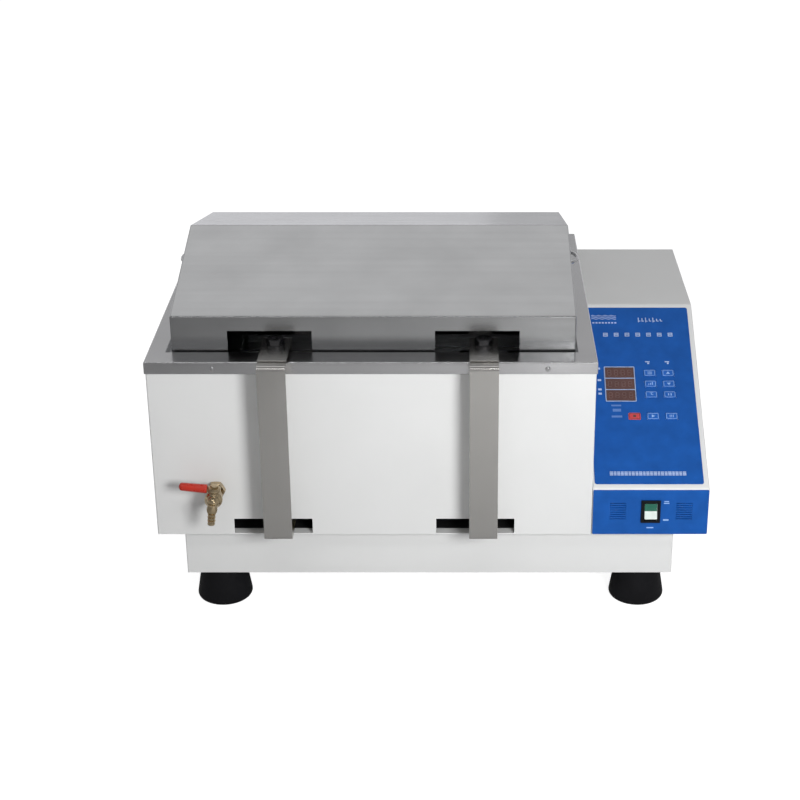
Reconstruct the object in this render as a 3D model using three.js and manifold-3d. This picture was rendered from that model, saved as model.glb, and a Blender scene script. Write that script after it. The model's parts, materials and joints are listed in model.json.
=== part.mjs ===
// Orbital shaking water bath for a biology bench, in millimetres with +Z up.
//
// A stainless tank hangs in a powder-coated case on a plinth. A motor in the plinth turns an
// eccentric crank under the tank, and idler cranks keep the platform on that crank square to
// the case, so the platform travels round a small circle without turning. Four strap arms rise
// from the platform outside the case, pass over the rim and carry a tray that hangs inside the
// tank. A gabled lid with a notch for each arm stands in the rim, and a console on the right
// holds the controls.
//
// The working frame has x = 0 and y = 0 at the middle of the tank and z = 0 on the bench. The
// finished group is moved so that its origin is the bottom centre of the whole object's box.

import * as THREE from 'three';
import { mergeVertices } from 'three/addons/utils/BufferGeometryUtils.js';
import Module from 'manifold-3d';

const wasm = await Module();
wasm.setup();

// ---- Driving dimensions ---------------------------------------------------------------------

const GAP = 0.3; // air between two pieces that rest on each other
const SHEET = 1.2; // stainless and steel sheet
const WIDE = 'x';
const DEEP = 'y';
const HIGH = 'z';
const SIDES = 16; // facets of a small turned piece
const LARGE_SIDES = 28; // facets of a large one

// Rubber feet
const FOOT_HEIGHT = 52.2;
const FOOT_BASE_RADIUS = 36.5;
const FOOT_TOP_RADIUS = 29.5;
const FOOT_LEFT_X = -206;
const FOOT_RIGHT_X = 348;
const FOOT_Y = 191;

// Plinth
const PLINTH_LEFT = -249;
const PLINTH_RIGHT = 390;
const PLINTH_HALF_DEPTH = 228;
const PLINTH_BOTTOM = 52.5;
const PLINTH_TOP = 119.5;
const PLINTH_SHEET = 1.5;

// Rim frame
const RIM_HALF_WIDTH = 282.5;
const RIM_HALF_DEPTH = 248;
const RIM_TOP = 362.5;
const RIM_LIP_HEIGHT = 16;
const RIM_SHEET = 1.5;
const OPENING_HALF_WIDTH = 259;
const OPENING_HALF_DEPTH = 215;

// Case
const CASE_HALF_WIDTH = RIM_HALF_WIDTH - SHEET - GAP;
const CASE_HALF_DEPTH = RIM_HALF_DEPTH - SHEET - GAP;
const CASE_BOTTOM = PLINTH_TOP + GAP;
const CASE_TOP = 352.5;
const CASE_TOP_FLANGE = 19;
const CASE_BOTTOM_FLANGE = 15;
const SLOT_BOTTOM = 121.6;
const SLOT_TOP = 142.5;
const SLOT_HALF_WIDTH = 50.5;

// Tank
const TANK_HALF_WIDTH = 247;
const TANK_HALF_DEPTH = 203;
const TANK_FLOOR = 149;
const TANK_SHEET = 1.5;
const TANK_FLANGE_WIDTH = 23;
const TANK_FLANGE_TOP = CASE_TOP + GAP + TANK_SHEET;
const INSULATION_THICKNESS = 18;
const INSULATION_BOTTOM = 152;
const INSULATION_TOP = 340;

// Heater, its guard and the temperature probe
const HEATER_RADIUS = 5;
const HEATER_BEND_RADIUS = 30;
const HEATER_Z = 166;
const HEATER_BEND_X = -170;
const GUARD_HALF_DEPTH = 48;
const GUARD_TOP = 184;
const PROBE_RADIUS = 3;
const PROBE_Y = 120;
const PROBE_Z = 184;
const TERMINAL_X = 262;

// Lid
const LID_CENTRE_X = 2;
const LID_HALF_WIDTH = 254.5;
const LID_HALF_DEPTH = 210;
const LID_BOTTOM = TANK_FLANGE_TOP + GAP;
const LID_EAVES = 408.5;
const LID_RIDGE = 458.5;
const NOTCH_HALF_WIDTH = 53;
const NOTCH_TOP = 389;
const LID_HANDLE_Z = 412.5;
const LID_HANDLE_REACH = 15;
const LID_HANDLE_HALF_LENGTH = 24;
const LID_HANDLE_RADIUS = 2.3;

// Drive
const ORBIT_RADIUS = 10;
const SHAFT_RADIUS = 5;
const PIN_RADIUS = 4;
const RUNNING_GAP = 0.4;
const CRANK_DISC_RADIUS = 24;
const CRANK_DISC_BOTTOM = 121.6;
const CRANK_DISC_TOP = 125.6;
const COUNTERWEIGHT_RADIUS = 50;
const BEARING_RADIUS = 14;
const BEARING_BOTTOM = 96;
const IDLERS = [
  { name: 'idler_crank_front_left', x: -150, y: -125 },
  { name: 'idler_crank_front_right', x: 150, y: -125 },
  { name: 'idler_crank_rear', x: 0, y: 130 },
];
const BELT_BOTTOM = 62;
const BELT_WIDTH = 9;
const BELT_THICKNESS = 3;
const CRANK_PITCH_RADIUS = 60;
const MOTOR_PITCH_RADIUS = 15;
const MOTOR_X = 300;
const MOTOR_RADIUS = 31;

// Shaking frame: platform, arms and tray, drawn at the right-hand end of the circle
const PLATFORM_HALF_WIDTH = 200;
const PLATFORM_HALF_DEPTH = 200;
const PLATFORM_BOTTOM = 128.2;
const PLATFORM_TOP = 131.2;
const PLATFORM_HOLE_RADIUS = 33;
const HUB_RADIUS = 13;
const HUB_TOP = 141;
const ARM_SPACING = 130.5;
const ARM_WIDTH = 36;
const ARM_SHEET = 2;
const ARM_BEND_RADIUS = 4;
const STRAP_OUTER_Y = 284;
const STRAP_TOP = 370.5;
const STRAP_TOP_END_Y = 204;
const STRAP_FOOT_END_Y = 174;
const BRACKET_OUTER_Y = 267;
const BRACKET_LEG_Y = 188;
const BRACKET_BOTTOM = 211;
const ARM_BOLT_Y = 216;
const ARM_BOLT_FLATS = 20;
const ARM_BOLT_HEAD = 9;
const TRAY_HALF_WIDTH = 222;
const TRAY_FLOOR = 210;
const TRAY_LIP = 14;
const TRAY_HOLE_RADIUS = 10;

// Console, whose front slopes back from a low vertical face
const CONSOLE_LEFT = CASE_HALF_WIDTH + GAP;
const CONSOLE_RIGHT = 431;
const CONSOLE_BOTTOM = 120.5;
const CONSOLE_BEND_Z = 186.5;
const CONSOLE_TOP = 337.5;
const CONSOLE_FRONT_Y = -248;
const CONSOLE_SLOPE_END_Y = 18;
const CONSOLE_BACK_Y = 248;
const CONSOLE_SHEET = 1.5;
const OVERLAY_THICKNESS = 0.8;
const OVERLAY_LEFT = 283.8;
const OVERLAY_RIGHT = 424;
const OVERLAY_CORNER = 3;
const OVERLAY_LOW = 7;
const OVERLAY_HIGH = 298.5;
const LOWER_OVERLAY_BOTTOM = 121.4;
const LOWER_OVERLAY_TOP = 185.2;
const LOWER_OVERLAY_CORNER = 1.5;
const DISPLAY = { x: 324.8, along: 167, width: 41, height: 58 };
const KEY_WIDTH = 16;
const KEY_HEIGHT = 11;
const KEY_THICKNESS = 1;
const KEY_TRAVEL = 0.4;
const KEYS = [
  { name: 'key_set', x: 365.5, along: 185.4 },
  { name: 'key_up', x: 390, along: 185.4 },
  { name: 'key_speed', x: 365.5, along: 167.2 },
  { name: 'key_down', x: 390, along: 167.2 },
  { name: 'key_timer', x: 365.5, along: 149.4 },
  { name: 'key_memory', x: 390, along: 149.4 },
  { name: 'key_stop', x: 341, along: 114 },
  { name: 'key_start', x: 365.5, along: 114 },
  { name: 'key_heat', x: 390, along: 114 },
];
const SWITCH = { x: 356.3, z: 155, width: 25, height: 32 };
const VENTS = [{ x: 314 }, { x: 399.5 }];
const VENT_WIDTH = 21;
const VENT_SLOT_HEIGHT = 1.2;
const VENT_PITCH = 3.2;
const VENT_SLOTS = 8;
const INLET = { x: 356, z: 165 };
const WIRING_HOLE = { y: 40, z: 172, radius: 18 }; // from the case into the console

// Drain valve, whose heights are from the middle of its nipple
const DRAIN_X = -201.2;
const DRAIN_Z = 186;
const NIPPLE_RADIUS = 7;
const NIPPLE_BORE_RADIUS = 4.5;
const NIPPLE_FRONT_Y = -262;
const VALVE_LEAN = 6; // degrees about the nipple
const VALVE_BALL_Y = -276.5;
const VALVE_BALL_RADIUS = 11.5;
const BARB_Y = -290.8;
const BARB_END = -29;
const LEVER_RISE = 13;
const LEVER_THICKNESS = 2.5;
const LEVER_HUB_RADIUS = 8.5;
const SLEEVE_LENGTH = 36;

// ---- Materials ------------------------------------------------------------------------------

const finish = (color, roughness, metalness) => () =>
  new THREE.MeshStandardMaterial({ color, roughness, metalness });
const stainless = finish(0xa4a7aa, 0.32, 1);
const polished = finish(0xb9bcbf, 0.2, 1);
const zincSteel = finish(0x8f9294, 0.4, 1);
const darkSteel = finish(0x3a3c3f, 0.45, 1);
const powderWhite = finish(0xe4e5e6, 0.55, 0);
const rubber = finish(0x1c1c1e, 0.85, 0);
const blueFilm = finish(0x2056a8, 0.35, 0);
const darkWindow = finish(0x4a2a2c, 0.15, 0);
const keyBlue = finish(0x2a62b6, 0.4, 0);
const keyRed = finish(0xd2505a, 0.4, 0);
const blackPlastic = finish(0x161718, 0.4, 0);
const greenLens = finish(0x2a8a60, 0.2, 0);
const brass = finish(0xb09060, 0.3, 1);
const redVinyl = finish(0xd03a28, 0.45, 0);
const boardGreen = finish(0x1f5a36, 0.6, 0);
const mineralWool = finish(0xd8cf9a, 0.95, 0);

// ---- Solids ---------------------------------------------------------------------------------

// The solid that a closed geometry bounds, with its coincident vertices merged.
function solidOf(geometry) {
  geometry.deleteAttribute('normal');
  geometry.deleteAttribute('uv');
  const merged = mergeVertices(geometry, 1e-4);
  const corners = merged.index.array;
  const kept = [];
  for (let i = 0; i < corners.length; i += 3) {
    const [a, b, c] = [corners[i], corners[i + 1], corners[i + 2]];
    if (a !== b && b !== c && c !== a) {
      kept.push(a, b, c);
    }
  }
  const vertProperties = new Float32Array(merged.attributes.position.array);
  const triVerts = new Uint32Array(kept);
  return new wasm.Manifold(new wasm.Mesh({ numProp: 3, vertProperties, triVerts }));
}

function geometryOf(solid) {
  const mesh = solid.getMesh();
  const geometry = new THREE.BufferGeometry();
  geometry.setAttribute('position', new THREE.BufferAttribute(mesh.vertProperties, 3));
  geometry.setIndex(new THREE.BufferAttribute(mesh.triVerts, 1));
  return geometry;
}

// A box between two opposite corners.
function block(low, high) {
  const size = high.map((value, i) => value - low[i]);
  const geometry = new THREE.BoxGeometry(...size);
  geometry.translate(...low.map((value, i) => value + size[i] / 2));
  return solidOf(geometry);
}

// A box centred on x and y, between two heights.
function centredBlock(halfWidth, halfDepth, bottom, top) {
  return block([-halfWidth, -halfDepth, bottom], [halfWidth, halfDepth, top]);
}

// A rectangular ring centred on x and y.
function ring(outer, inner, bottom, top) {
  const hole = centredBlock(inner[0], inner[1], bottom - 1, top + 1);
  return centredBlock(outer[0], outer[1], bottom, top).subtract(hole);
}

// An outline pushed along one axis. Its points are (y, z) along x, (x, z) along y and (x, y)
// along z.
function prism(outline, axis, from, to) {
  const shape = new THREE.Shape(outline.map(([u, v]) => new THREE.Vector2(u, v)));
  const geometry = new THREE.ExtrudeGeometry(shape, { depth: to - from, bevelEnabled: false });
  if (axis === WIDE) {
    geometry.rotateX(Math.PI / 2);
    geometry.rotateZ(Math.PI / 2);
    geometry.translate(from, 0, 0);
  } else if (axis === DEEP) {
    geometry.rotateX(Math.PI / 2);
    geometry.translate(0, to, 0);
  } else {
    geometry.translate(0, 0, from);
  }
  return solidOf(geometry);
}

// A round bar from one point to another, tapered if a second radius is given.
function rod(start, end, radius, endRadius = radius, sides = SIDES) {
  const from = new THREE.Vector3(...start);
  const along = new THREE.Vector3(...end).sub(from);
  const geometry = new THREE.CylinderGeometry(endRadius, radius, along.length(), sides);
  const up = new THREE.Vector3(0, 1, 0);
  const turn = new THREE.Quaternion().setFromUnitVectors(up, along.clone().normalize());
  geometry.applyQuaternion(turn);
  geometry.translate(...from.addScaledVector(along, 0.5).toArray());
  return solidOf(geometry);
}

// A hexagonal bar along one axis, with two flats square to the other horizontal axis.
function hexagon(centre, flats, axis, from, to) {
  const radius = flats / Math.sqrt(3);
  const outline = [];
  for (let i = 0; i < 6; i += 1) {
    const angle = (i * Math.PI) / 3;
    outline.push([centre[0] + radius * Math.cos(angle), centre[1] + radius * Math.sin(angle)]);
  }
  return prism(outline, axis, from, to);
}

// A ball turned about the vertical.
function ball(centre, radius) {
  const geometry = new THREE.SphereGeometry(radius, 14, 7);
  geometry.rotateX(Math.PI / 2);
  geometry.translate(...centre);
  return solidOf(geometry);
}

// A closed profile of (radius, height) points turned about the z axis.
function turned(profile, sides = SIDES) {
  const geometry = new THREE.LatheGeometry(profile.map(([r, z]) => new THREE.Vector2(r, z)), sides);
  geometry.rotateX(Math.PI / 2);
  return solidOf(geometry);
}

// A rectangle with round corners, as an outline.
function roundedRectangle(left, low, right, high, radius) {
  const corners = [
    [right - radius, high - radius],
    [left + radius, high - radius],
    [left + radius, low + radius],
    [right - radius, low + radius],
  ];
  const outline = [];
  corners.forEach(([x, y], quarter) => {
    for (let step = 0; step <= 3; step += 1) {
      const angle = ((quarter + step / 3) * Math.PI) / 2;
      outline.push([x + radius * Math.cos(angle), y + radius * Math.sin(angle)]);
    }
  });
  return outline;
}

// The outline of a strip of sheet whose middle line runs through the corners with round bends.
function bentStrip(corners, thickness, bendRadius) {
  const points = corners.map(([u, v]) => new THREE.Vector2(u, v));
  const stations = [];
  const addStation = (point, direction) => {
    stations.push({ point, normal: new THREE.Vector2(-direction.y, direction.x) });
  };
  for (let i = 0; i < points.length; i += 1) {
    const before = i > 0 ? points[i].clone().sub(points[i - 1]).normalize() : null;
    const after = i < points.length - 1 ? points[i + 1].clone().sub(points[i]).normalize() : null;
    if (!before || !after) {
      addStation(points[i], before ?? after);
      continue;
    }
    const turn = Math.atan2(before.cross(after), before.dot(after));
    const reach = bendRadius * Math.tan(Math.abs(turn) / 2);
    const start = points[i].clone().addScaledVector(before, -reach);
    const inward = new THREE.Vector2(-before.y, before.x).multiplyScalar(Math.sign(turn));
    const centre = start.clone().addScaledVector(inward, bendRadius);
    for (let step = 0; step <= 4; step += 1) {
      const angle = (turn * step) / 4;
      const point = start.clone().rotateAround(centre, angle);
      addStation(point, before.clone().rotateAround(new THREE.Vector2(), angle));
    }
  }
  const side = (sign) =>
    stations.map(({ point, normal }) => {
      const offset = point.clone().addScaledVector(normal, (sign * thickness) / 2);
      return [offset.x, offset.y];
    });
  return [...side(-1), ...side(1).reverse()];
}

// A round bar swept along a curve.
function sweptRod(curve, radius, steps, sides) {
  const section = new THREE.Shape();
  section.absarc(0, 0, radius, 0, 2 * Math.PI, false);
  const options = { steps, extrudePath: curve, bevelEnabled: false, curveSegments: sides / 2 };
  return solidOf(new THREE.ExtrudeGeometry(section, options));
}

const assembly = new THREE.Group();

// Hangs a finished piece in the assembly under the name of its part.
function addPart(name, solid, material, parent = assembly) {
  const mesh = new THREE.Mesh(geometryOf(solid), material());
  mesh.name = name;
  parent.add(mesh);
  return mesh;
}

// The four corners of the machine, named from the operator's side.
const CORNERS = [
  { name: 'front_left', sideX: -1, sideY: -1 },
  { name: 'front_right', sideX: 1, sideY: -1 },
  { name: 'rear_left', sideX: -1, sideY: 1 },
  { name: 'rear_right', sideX: 1, sideY: 1 },
];

// ---- Plinth and feet ------------------------------------------------------------------------

function makeFeet() {
  const profile = [
    [0, 0],
    [FOOT_BASE_RADIUS - 2, 0],
    [FOOT_BASE_RADIUS, 2],
    [FOOT_BASE_RADIUS, 8],
    [FOOT_TOP_RADIUS, FOOT_HEIGHT - 3],
    [FOOT_TOP_RADIUS - 2, FOOT_HEIGHT],
    [0, FOOT_HEIGHT],
  ];
  for (const { name, sideX, sideY } of CORNERS) {
    const foot = addPart(`foot_${name}`, turned(profile, LARGE_SIDES), rubber);
    foot.position.set(sideX < 0 ? FOOT_LEFT_X : FOOT_RIGHT_X, sideY * FOOT_Y, 0);
  }
}

// The plinth is a box open below, with a bearing under its top for each crank shaft.
function makePlinth() {
  const low = [PLINTH_LEFT, -PLINTH_HALF_DEPTH, PLINTH_BOTTOM];
  const high = [PLINTH_RIGHT, PLINTH_HALF_DEPTH, PLINTH_TOP];
  const innerLow = [low[0] + PLINTH_SHEET, low[1] + PLINTH_SHEET, low[2] - 1];
  const innerHigh = high.map((value) => value - PLINTH_SHEET);
  let plinth = block(low, high).subtract(block(innerLow, innerHigh));
  for (const { x, y } of [{ x: 0, y: 0 }, ...IDLERS]) {
    const bearing = rod([x, y, BEARING_BOTTOM], [x, y, PLINTH_TOP - 0.5], BEARING_RADIUS);
    const bore = rod([x, y, BEARING_BOTTOM - 1], [x, y, PLINTH_TOP + 1], SHAFT_RADIUS + RUNNING_GAP);
    plinth = plinth.add(bearing).subtract(bore);
  }
  addPart('plinth', plinth, powderWhite);

  const inset = PLINTH_SHEET + GAP;
  const plate = block(
    [PLINTH_LEFT + inset, -PLINTH_HALF_DEPTH + inset, PLINTH_BOTTOM],
    [PLINTH_RIGHT - inset, PLINTH_HALF_DEPTH - inset, PLINTH_BOTTOM + PLINTH_SHEET],
  );
  addPart('plinth_bottom_plate', plate, zincSteel);
}

// ---- Case, rim and tank ---------------------------------------------------------------------

// The hole through the case and the console for the wires between them, round a wall at x.
function wiringHole(x) {
  const { y, z, radius } = WIRING_HOLE;
  return rod([x - 3, y, z], [x + 3, y, z], radius);
}

// The case is four walls with a flange folded in at the top and the bottom. Each arm has a slot
// near the bottom, and the drain and the wiring have a hole each.
function makeCase() {
  const inner = [CASE_HALF_WIDTH - SHEET, CASE_HALF_DEPTH - SHEET];
  const topHole = [CASE_HALF_WIDTH - CASE_TOP_FLANGE, CASE_HALF_DEPTH - CASE_TOP_FLANGE - 9];
  const bottomHole = [CASE_HALF_WIDTH - CASE_BOTTOM_FLANGE, CASE_HALF_DEPTH - CASE_BOTTOM_FLANGE];
  let shell = centredBlock(CASE_HALF_WIDTH, CASE_HALF_DEPTH, CASE_BOTTOM, CASE_TOP)
    .subtract(centredBlock(...inner, CASE_BOTTOM + SHEET, CASE_TOP - SHEET))
    .subtract(centredBlock(...topHole, CASE_TOP - 5, CASE_TOP + 1))
    .subtract(centredBlock(...bottomHole, CASE_BOTTOM - 1, CASE_BOTTOM + 5));
  for (const { sideX, sideY } of CORNERS) {
    const x = sideX * ARM_SPACING;
    const y = sideY * CASE_HALF_DEPTH;
    const slot = block([x - SLOT_HALF_WIDTH, y - 3, SLOT_BOTTOM], [x + SLOT_HALF_WIDTH, y + 3, SLOT_TOP]);
    shell = shell.subtract(slot);
  }
  const front = -CASE_HALF_DEPTH;
  const holeRadius = NIPPLE_RADIUS + 2 * GAP;
  const drainHole = rod([DRAIN_X, front - 3, DRAIN_Z], [DRAIN_X, front + 3, DRAIN_Z], holeRadius);
  addPart('outer_case', shell.subtract(drainHole).subtract(wiringHole(CASE_HALF_WIDTH)), powderWhite);
}

// The rim is a flat frame with a lip folded down outside the case and another inside the opening.
function makeRim() {
  const outer = [RIM_HALF_WIDTH, RIM_HALF_DEPTH];
  const opening = [OPENING_HALF_WIDTH, OPENING_HALF_DEPTH];
  const underside = RIM_TOP - RIM_SHEET;
  const outerLip = ring(outer, outer.map((half) => half - SHEET), RIM_TOP - RIM_LIP_HEIGHT, RIM_TOP - 0.5);
  const innerLip = ring(opening.map((half) => half + SHEET), opening, LID_BOTTOM, RIM_TOP - 0.5);
  const rim = ring(outer, opening, underside, RIM_TOP).add(outerLip).add(innerLip);
  addPart('rim_frame', rim, polished);
}

// The tank's flange is also the ledge that the lid stands on.
function makeTank() {
  const wall = [TANK_HALF_WIDTH + TANK_SHEET, TANK_HALF_DEPTH + TANK_SHEET];
  const flange = [TANK_HALF_WIDTH + TANK_FLANGE_WIDTH, TANK_HALF_DEPTH + TANK_FLANGE_WIDTH];
  const water = centredBlock(TANK_HALF_WIDTH, TANK_HALF_DEPTH, TANK_FLOOR, TANK_FLANGE_TOP + 1);
  let tank = centredBlock(...wall, TANK_FLOOR - TANK_SHEET, TANK_FLANGE_TOP)
    .add(centredBlock(...flange, TANK_FLANGE_TOP - TANK_SHEET, TANK_FLANGE_TOP))
    .subtract(water);
  const front = -TANK_HALF_DEPTH;
  const drainHoleRadius = NIPPLE_RADIUS + RUNNING_GAP;
  tank = tank.subtract(rod([DRAIN_X, front - 4, DRAIN_Z], [DRAIN_X, front + 4, DRAIN_Z], drainHoleRadius));
  const right = TANK_HALF_WIDTH;
  for (const y of [-HEATER_BEND_RADIUS, HEATER_BEND_RADIUS]) {
    const hole = rod([right - 4, y, HEATER_Z], [right + 4, y, HEATER_Z], HEATER_RADIUS + RUNNING_GAP);
    tank = tank.subtract(hole);
  }
  const probeHoleRadius = PROBE_RADIUS + RUNNING_GAP;
  const probeHole = rod([right - 4, PROBE_Y, PROBE_Z], [right + 4, PROBE_Y, PROBE_Z], probeHoleRadius);
  addPart('tank', tank.subtract(probeHole), stainless);

  const lining = wall.map((half) => half + GAP);
  const outside = lining.map((half) => half + INSULATION_THICKNESS);
  const roundDrain = rod([DRAIN_X, -outside[1] - 1, DRAIN_Z], [DRAIN_X, front, DRAIN_Z], NIPPLE_RADIUS + 2);
  const roundTerminals = block([right - 1, -50, INSULATION_BOTTOM - 1], [outside[0] + 1, 140, 200]);
  const wool = ring(outside, lining, INSULATION_BOTTOM, INSULATION_TOP)
    .subtract(roundDrain)
    .subtract(roundTerminals);
  addPart('tank_insulation', wool, mineralWool);
}

// A hairpin of heater tube lies on its side just above the tank floor, under a slotted guard.
function makeHeaterAndProbe() {
  const half = HEATER_BEND_RADIUS;
  class HeaterBend extends THREE.Curve {
    getPoint(t, target = new THREE.Vector3()) {
      const angle = Math.PI * (0.5 + t);
      return target.set(HEATER_BEND_X + half * Math.cos(angle), half * Math.sin(angle), HEATER_Z);
    }
  }
  let heater = sweptRod(new HeaterBend(), HEATER_RADIUS, 8, SIDES);
  for (const y of [-half, half]) {
    const legStart = [HEATER_BEND_X - 0.5, y, HEATER_Z];
    heater = heater.add(rod(legStart, [TERMINAL_X, y, HEATER_Z], HEATER_RADIUS));
  }
  addPart('heater_element', heater, darkSteel);

  const guardLeft = HEATER_BEND_X - half - 20;
  const guardRight = TANK_HALF_WIDTH - 12;
  const foot = TANK_FLOOR + GAP;
  let guard = block([guardLeft, -GUARD_HALF_DEPTH, foot], [guardRight, GUARD_HALF_DEPTH, GUARD_TOP])
    .subtract(block(
      [guardLeft - 1, -GUARD_HALF_DEPTH + SHEET, foot - 1],
      [guardRight + 1, GUARD_HALF_DEPTH - SHEET, GUARD_TOP - SHEET],
    ));
  for (let x = guardLeft + 25; x < guardRight - 20; x += 35) {
    guard = guard.subtract(block([x, -33, GUARD_TOP - 5], [x + 14, 33, GUARD_TOP + 1]));
  }
  addPart('heater_guard', guard, stainless);

  const probeAt = (x) => [x, PROBE_Y, PROBE_Z];
  const wallFace = TANK_HALF_WIDTH - GAP;
  const collar = rod(probeAt(wallFace - 4), probeAt(wallFace), 7);
  const stem = rod(probeAt(wallFace - 75), probeAt(TERMINAL_X), PROBE_RADIUS);
  addPart('temperature_probe', stem.add(collar), polished);
}

// ---- Lid ------------------------------------------------------------------------------------

// The lid is a hollow gable over four skirts, drawn about its own centre line.
function makeLid() {
  const gable = (halfDepth, bottom, eaves, ridge) => [
    [-halfDepth, bottom],
    [halfDepth, bottom],
    [halfDepth, eaves],
    [0, ridge],
    [-halfDepth, eaves],
  ];
  const outside = gable(LID_HALF_DEPTH, LID_BOTTOM, LID_EAVES, LID_RIDGE);
  const inside = gable(LID_HALF_DEPTH - SHEET, LID_BOTTOM - 1, LID_EAVES - SHEET, LID_RIDGE - SHEET);
  const hollow = prism(inside, WIDE, -LID_HALF_WIDTH + SHEET, LID_HALF_WIDTH - SHEET);
  let shell = prism(outside, WIDE, -LID_HALF_WIDTH, LID_HALF_WIDTH).subtract(hollow);
  for (const { sideX, sideY } of CORNERS) {
    const x = sideX * ARM_SPACING;
    const y = sideY * LID_HALF_DEPTH;
    shell = shell.subtract(block(
      [x - NOTCH_HALF_WIDTH, y - 4, LID_BOTTOM - 1],
      [x + NOTCH_HALF_WIDTH, y + 4, NOTCH_TOP],
    ));
  }
  const lid = addPart('lid', shell, stainless);
  lid.position.x = LID_CENTRE_X;

  const halfLength = LID_HANDLE_HALF_LENGTH - LID_HANDLE_RADIUS;
  for (const [name, side] of [['left', -1], ['right', 1]]) {
    const root = side * (LID_HALF_WIDTH + GAP);
    const reach = side * (LID_HANDLE_REACH - LID_HANDLE_RADIUS);
    class Bow extends THREE.Curve {
      getPoint(t, target = new THREE.Vector3()) {
        const angle = Math.PI * (t - 0.5);
        const x = root + reach * Math.cos(angle);
        return target.set(x, halfLength * Math.sin(angle), LID_HANDLE_Z);
      }
    }
    const handle = addPart(`lid_handle_${name}`, sweptRod(new Bow(), LID_HANDLE_RADIUS, 20, 10), polished);
    handle.position.x = LID_CENTRE_X;
  }
}

// ---- Drive in the plinth --------------------------------------------------------------------

// A crank is a shaft, a disc and a pin that stands off the shaft's axis by the orbit radius.
function crankSolid(shaftBottom) {
  return rod([0, 0, shaftBottom], [0, 0, CRANK_DISC_TOP - 1], SHAFT_RADIUS)
    .add(rod([0, 0, CRANK_DISC_BOTTOM], [0, 0, CRANK_DISC_TOP], CRANK_DISC_RADIUS))
    .add(rod([ORBIT_RADIUS, 0, CRANK_DISC_TOP - 1], [ORBIT_RADIUS, 0, HUB_TOP - 1], PIN_RADIUS));
}

// A belt pulley about the z axis, with a flange above and below the belt.
function pulleySolid(pitchRadius, boreRadius) {
  const floor = pitchRadius - BELT_THICKNESS / 2 - GAP;
  const flange = pitchRadius + BELT_THICKNESS / 2 + 2;
  const bottom = BELT_BOTTOM - GAP;
  const top = BELT_BOTTOM + BELT_WIDTH + GAP;
  const profile = [
    [boreRadius, bottom - 2],
    [flange, bottom - 2],
    [flange, bottom],
    [floor, bottom],
    [floor, top],
    [flange, top],
    [flange, top + 2],
    [boreRadius, top + 2],
    [boreRadius, bottom - 2],
  ];
  return turned(profile, pitchRadius > 30 ? LARGE_SIDES : SIDES);
}

// One side of the belt: the outline round both pulleys at a distance from their pitch circles.
function beltOutline(offset) {
  const lean = Math.asin((CRANK_PITCH_RADIUS - MOTOR_PITCH_RADIUS) / MOTOR_X);
  const outline = [];
  const addArc = (x, radius, from, to, steps) => {
    for (let step = 0; step <= steps; step += 1) {
      const angle = from + ((to - from) * step) / steps;
      outline.push([x + radius * Math.cos(angle), radius * Math.sin(angle)]);
    }
  };
  const quarter = Math.PI / 2;
  addArc(MOTOR_X, MOTOR_PITCH_RADIUS + offset, -quarter + lean, quarter - lean, 12);
  addArc(0, CRANK_PITCH_RADIUS + offset, quarter - lean, 3 * quarter + lean, 32);
  return outline;
}

function makeDrive() {
  const shaftBottom = BELT_BOTTOM - 3;
  const weightOutline = [];
  for (let step = 0; step <= 16; step += 1) {
    const angle = Math.PI * (0.62 + (0.76 * step) / 16);
    weightOutline.push([COUNTERWEIGHT_RADIUS * Math.cos(angle), COUNTERWEIGHT_RADIUS * Math.sin(angle)]);
  }
  const weight = prism([[-4, 0], ...weightOutline], HIGH, CRANK_DISC_BOTTOM, CRANK_DISC_TOP);
  addPart('main_crank', crankSolid(shaftBottom).add(weight), zincSteel);
  addPart('crank_pulley', pulleySolid(CRANK_PITCH_RADIUS, SHAFT_RADIUS + GAP), zincSteel);
  for (const { name, x, y } of IDLERS) {
    const idler = addPart(name, crankSolid(BEARING_BOTTOM - 3), zincSteel);
    idler.position.set(x, y, 0);
  }

  const inside = -BELT_THICKNESS / 2;
  const beltTop = BELT_BOTTOM + BELT_WIDTH;
  const belt = prism(beltOutline(-inside), HIGH, BELT_BOTTOM, beltTop)
    .subtract(prism(beltOutline(inside), HIGH, BELT_BOTTOM - 1, beltTop + 1));
  addPart('drive_belt', belt, rubber);

  const motorShaftRadius = 3;
  const motorTop = PLINTH_TOP - PLINTH_SHEET - GAP;
  const plate = MOTOR_RADIUS + 5;
  const motor = rod([0, 0, 80], [0, 0, motorTop], MOTOR_RADIUS, MOTOR_RADIUS, LARGE_SIDES)
    .add(block([-plate, -plate, motorTop - 3], [plate, plate, motorTop]))
    .add(rod([0, 0, 77], [0, 0, 81], 11))
    .subtract(rod([0, 0, 70], [0, 0, 100], motorShaftRadius + RUNNING_GAP));
  addPart('drive_motor', motor, darkSteel).position.x = MOTOR_X;
  const motorShaft = rod([0, 0, BELT_BOTTOM - 1], [0, 0, 98], motorShaftRadius);
  const motorPulley = pulleySolid(MOTOR_PITCH_RADIUS, motorShaftRadius - 0.5).add(motorShaft);
  addPart('motor_pulley', motorPulley, zincSteel).position.x = MOTOR_X;
}

// ---- Shaking frame --------------------------------------------------------------------------

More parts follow.
